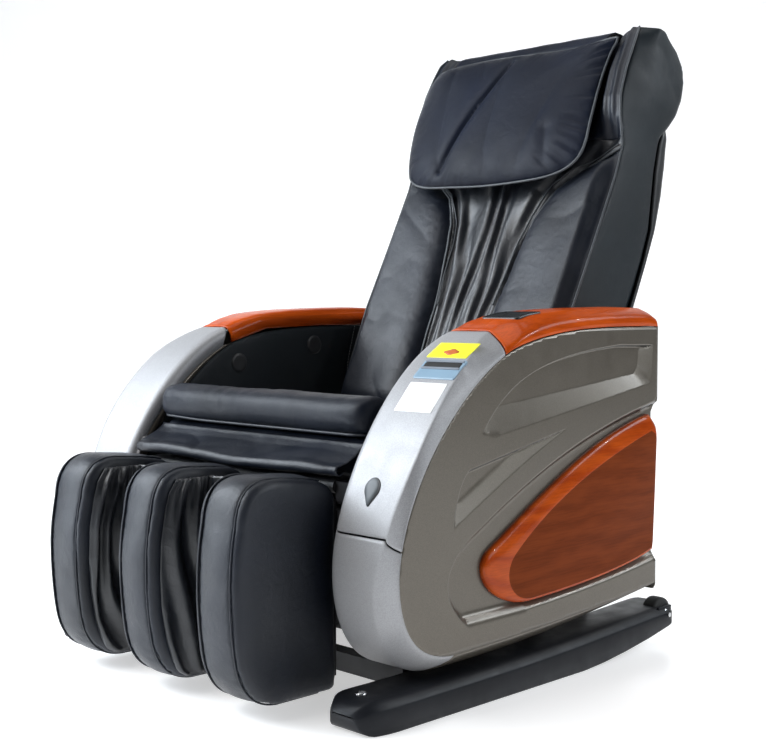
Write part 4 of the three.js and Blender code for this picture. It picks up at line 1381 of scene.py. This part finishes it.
bezel = face_patch("bill_bezel_look", 304, 386, 484.5, 511, 1.3, 3.0, PALE, "door", 3.0)
stand_in("bill_bezel")
# The bill slot's opening is a flat near-black plate: painted shade for the inside of the slot.
face_patch("bill_mouth", 308.5, 381, 500.0, 507.2, 1.45, 1.2, SLOT_SHADE, "door", 1.6)
for number, (low, high) in enumerate(((497.6, 500.0), (507.2, 509.6))):
    lip = face_patch(f"bill_lip_{number}", 307, 382.5, low, high, 2.6, 2.0, GREY_PLASTIC, "door", 1.1)
face_patch("price_label", 298, 378, 514.5, 535.5, 0.7, 0.8, YELLOW, "door", 1.5)
oval("price_mark", (339, 522.5), (15, 3.6), 1.0, BROWN, "door")
face_patch("blank_label", 306.5, 380, 438.5, 479, 0.7, 0.8, WHITE, "door", 2.0)
teardrop("lock_rim", 328, 347.5, 307.5, 30, 1.2, 1.4, SHELL, "door")
drop = teardrop("lock_escutcheon_look", 327.2, 346, 309.5, 25, 2.0, 1.2, DROP_GREY, "door")
stand_in("lock_escutcheon")
key_profile = [(-6, 3.0), (-6, 6.0), (2.2, 6.0), (3.0, 5.4), (3.1, 0.6)]
key_turn = Matrix.Rotation(math.radians(-90), 3, "Z") @ Matrix.Rotation(math.radians(-24), 3, "Y")
key_face = lathe("lock_barrel_look", key_profile, (326, -332.4, 329), key_turn, BRIGHT, "lock")
stand_in("lock_barrel")


def display_lens():
    """A glossy black lens let into the sloping top of the pay arm."""
    ys = [-69, -32, 5, 56, 100]
    zs = [568, 576, 580, 584, 586]
    outline = []
    for x, y, start in ((32, 25, 0), (-32, 25, 90), (-32, -25, 180), (32, -25, 270)):
        turns = [math.radians(start + 15 * k) for k in range(7)]
        outline += [(x + 5 * math.cos(a), y + 5 * math.sin(a)) for a in turns]
    outline = resample(outline, 80, closed=True)
    rings = []
    for share, lift in ((1.0, -2.1), (1.0, 2.8), (0.97, 3.7), (0.93, 3.1), (0.9, 2.8), (0.55, 3.2),
                        (0.1, 3.4)):
        row = []
        for a, b in outline:
            y = -28 + b * share
            row.append(place(330 + a * share, y, float(np.interp(y, ys, zs)) + lift))
        rings.append(row)
    made = loft("display_window_look", rings, WINDOW, "base")
    stand_in("display_window")


display_lens()


# ---------------------------------------------------------------- runners and wheels
def runner(side, word):
    """A floor runner: a long shoe with chamfered top edges, a rounded nose and a raised tail."""
    tops = [(-412, 30), (-408, 38), (-398, 45.5), (-384, 48.5), (-181, 49.5), (-60, 51), (60, 55), (180, 61),
            (300, 66.5), (345, 68)]
    bottoms = [(-412, 26), (-409, 12), (-400, 3), (-388, 0), (85, 0), (140, 3.5), (200, 10), (270, 20),
               (330, 31), (345, 34)]
    rings = []
    stations = [-412, -410.5, -407, -402, -396, -388, -378, -366, -350, -330]
    stations += [-330 + 660 * k / 66 for k in range(1, 67)] + [338, 342, 345]
    for y in stations:
        nose = smooth(y, RUNNER_NOSE, -330)
        half = 19 + 30 * math.sqrt(max(0.0, 1 - (1 - min(1.0, (y - RUNNER_NOSE) / 70)) ** 2))
        half -= 5 * smooth(y, 335, 346)
        top = float(np.interp(y, *zip(*tops)))
        low = float(np.interp(y, *zip(*bottoms)))
        high = max(low + 1.5, top)
        cut = min(15.0, half * 0.45) * (0.5 + 0.5 * nose)
        drop = min(12.0, (high - low) * 0.4)
        flank = [(half - 2, low), (half, low + 2.0), (half, high - drop - 2), (half - 1.0, high - drop + 0.4),
                 (half - cut * 0.5, high - drop * 0.45), (half - cut + 2, high - 1.3),
                 (half - cut - 2, high), (half * 0.3, high + 0.5)]
        outline = [(-x, z) for x, z in flank] + flank[::-1]
        rings.append([place(side * (RUNNER_X + x), y, max(low, z)) for x, z in outline])
    made = loft(f"runner_{word}_look", rings, RUNNER, "base")
    stand_in(f"runner_{word}")
    upright = Matrix.Rotation(math.radians(-90), 3, "Y")
    head = [(-2, 2), (-2, 8.5), (1.2, 8.5), (2.6, 7.0), (3.2, 3.5), (3.3, 0.4)]
    screw = lathe(f"runner_{word}_screw", head, (side * 346, -374, 48.6), upright, BRIGHT, "base", 28)


def wheel(side, word):
    """A transport wheel: a fat rubber tyre over a dished hub."""
    flank = [(14, 5), (14, 15), (12.6, 17), (13.6, 19.5), (13.2, 24.5), (11.5, 26.9), (8.5, 27.8)]
    profile = [(-along, radius) for along, radius in flank] + [(0, 28)] + flank[::-1]
    centre = (side * WHEEL_X, WHEEL_Y, WHEEL_Z)
    made = lathe(f"transport_wheel_{word}_look", profile, centre, Matrix.Identity(3), RUBBER,
                 f"wheel_{word}", 56)
    stand_in(f"transport_wheel_{word}")
    outward = Matrix.Rotation(0 if side > 0 else math.pi, 3, "Z")
    head = [(0, 2), (0, 9.0), (1.0, 9.6), (4.6, 9.6), (6.2, 8.4), (7.2, 5.5), (7.6, 1.0)]
    end = (side * (WHEEL_X + 16), WHEEL_Y, WHEEL_Z)
    bolt = lathe(f"wheel_axle_{word}_bolt", head, end, outward, BRIGHT, "base", 36)
    ear_x = side * (WHEEL_X + 18)
    ear = rounded_box(f"runner_{word}_ear", (ear_x - 2.5, ear_x + 2.5), (306, 346), (34, 66), 2.0, RUNNER,
                      "base")


for sign, word in ((1, "left"), (-1, "right")):
    runner(sign, word)
    wheel(sign, word)


# ---------------------------------------------------------------- rear shell of the back
REAR_LINE = [(30, 104), (200, 109), (324, 110.5), (410, 111), (495, 110.5), (556, 104), (612, 89), (660, 70),
             (690, 60), (700, 55)]
REAR_EDGE = [(30, 88), (361, 95), (423, 94), (484, 89), (537, 71), (590, 53), (640, 42), (690, 40), (700, 42)]


def rear_shell():
    """The back's moulded rear shell, rounded at the sides, with two faint ribs."""
    bend = [(261.5, 0.0), (262, 0.25), (261.5, 0.5), (259, 0.72), (253, 0.88), (244, 0.96), (232, 0.99)]
    rows = []
    for k in range(110):
        w = 30 + 670 * k / 109
        outer = float(lookup(REAR_LINE, w))
        edge = float(lookup(REAR_EDGE, w))
        inset = 10 * smooth(w, 660, 700)
        depth = outer - edge
        row = [(x - inset, edge + depth * share) for x, share in bend]
        for q in range(1, 12):
            x = 232 - 232 * q / 12
            rib = 1.6 * smooth(abs(x - 120), 10, 0) * smooth(w, 70, 100) * (1 - smooth(w, 540, 580))
            row.append((x, outer - 0.5 + 3.5 * (1 - (x / 232) ** 2) - rib))
        row = row + [(0.0, outer + 3.0)] + [(-x, v) for x, v in row[::-1]]
        rows.append([back_place(x, v, w) for x, v in row])
    made = sheet_grid("back_shell_look", rows, SHELL, "back", 4)
    stand_in("back_shell")
    return made


rear_shell()


# ---------------------------------------------------------------- finishes of the pieces kept from the CAD
SLOT_LOOKS = {"silver_paint": SILVER, "wood_gloss": CAP_WOOD, "black_leather": LEATHER,
              "side_leather": SIDE_LEATHER, "black_shell": SHELL, "runner_plastic": RUNNER,
              "frame_steel": STEEL, "bright_steel": BRIGHT, "wheel_rubber": RUBBER,
              "grey_plastic": GREY_PLASTIC, "window": WINDOW}
for entry in frame["record"]["subparts"]:
    node = frame["nodes"][entry["node"]]
    node.data.materials.clear()
    node.data.materials.append(SLOT_LOOKS[entry["material_slot"]])


# ---------------------------------------------------------------- stage and camera
COOL = (0.85, 0.925, 1.0)
CHAIR_MIDDLE = Vector((0, 0, 0.5))


def make_stage():
    """A white floor that curves up into a wall behind the chair."""
    size = 6.0
    floor = bpy.data.meshes.new("floor")
    sweep = ((-4.0, 0.0), (3.0, 0.0), (3.6, 0.05), (4.1, 0.3), (4.4, 0.9), (4.5, 4.5))
    points = [(x, y, z) for y, z in sweep for x in (-size, size)]
    floor.from_pydata(points, [], grid_faces(len(sweep), 2))
    stage = bpy.data.objects.new("stage_floor", floor)
    bpy.context.scene.collection.objects.link(stage)
    for polygon in floor.polygons:
        polygon.use_smooth = True
    material, _, principled = shader("stage_look", (0.9, 0.9, 0.9), 0.25)
    principled.inputs["Emission Color"].default_value = (1, 1, 1, 1)
    principled.inputs["Emission Strength"].default_value = 0.50
    stage.data.materials.append(material)
    stage.rotation_euler = (0, 0, math.radians(45))


def add_light(name, location, energy, size, size_y, colour=(1, 1, 1)):
    """A rectangular light aimed at the chair's middle."""
    light = bpy.data.lights.new(name, "AREA")
    light.energy = energy
    light.color = colour
    light.shape = "RECTANGLE"
    light.size = size
    light.size_y = size_y
    made = bpy.data.objects.new(name, light)
    bpy.context.scene.collection.objects.link(made)
    made.location = location
    made.rotation_euler = (CHAIR_MIDDLE - Vector(location)).to_track_quat("-Z", "Y").to_euler()


make_stage()
add_light("key", (-2.0, -1.7, 2.0), 100, 1.8, 1.5, COOL)
add_light("front", (-2.0, -2.4, 0.8), 46, 1.0, 1.5, COOL)
add_light("high_front", (-0.6, -2.4, 2.6), 45, 1.5, 1.2)
add_light("side_fill", (3.0, 0.7, 1.1), 12, 1.3, 0.9, COOL)
for number, spot in enumerate(((2.4, 2.0, 2.3), (1.2, 2.6, 2.6), (3.2, 0.9, 1.7))):
    add_light(f"sparkle_{number}", spot, 7, 0.12, 0.12)
add_light("back_right", (2.3, 2.4, 2.2), 38, 1.8, 1.0, COOL)
add_light("top", (-0.2, 0.1, 2.8), 18, 2.0, 1.6)
bpy.context.scene.view_settings.view_transform = "Standard"

# The world is dim for the object and white where the camera sees past the stage.
world = bpy.data.worlds.new("studio")
world.use_nodes = True
world_nodes = world.node_tree.nodes
world_links = world.node_tree.links
lit = world_nodes["Background"]
lit.inputs["Color"].default_value = (0.88, 0.94, 1.0, 1)
lit.inputs["Strength"].default_value = 0.06
seen = world_nodes.new("ShaderNodeBackground")
seen.inputs["Color"].default_value = (0.93, 0.93, 0.93, 1)
rays = world_nodes.new("ShaderNodeLightPath")
choice = world_nodes.new("ShaderNodeMixShader")
world_links.new(rays.outputs["Is Camera Ray"], choice.inputs["Fac"])
world_links.new(lit.outputs[0], choice.inputs[1])
world_links.new(seen.outputs[0], choice.inputs[2])
world_links.new(choice.outputs[0], world_nodes["World Output"].inputs["Surface"])
bpy.context.scene.world = world

camera_data = bpy.data.cameras.new("camera")
camera_data.lens = LENS
camera_data.sensor_width = 36
camera = bpy.data.objects.new("camera", camera_data)
bpy.context.scene.collection.objects.link(camera)
camera.location = (CAMERA_X, CAMERA_Y, CAMERA_Z)
level = math.cos(CAMERA_DOWN)
forward = Vector((-math.sin(CAMERA_TURN) * level, math.cos(CAMERA_TURN) * level, -math.sin(CAMERA_DOWN)))
camera.rotation_euler = forward.to_track_quat("-Z", "Y").to_euler()
bpy.context.scene.camera = camera
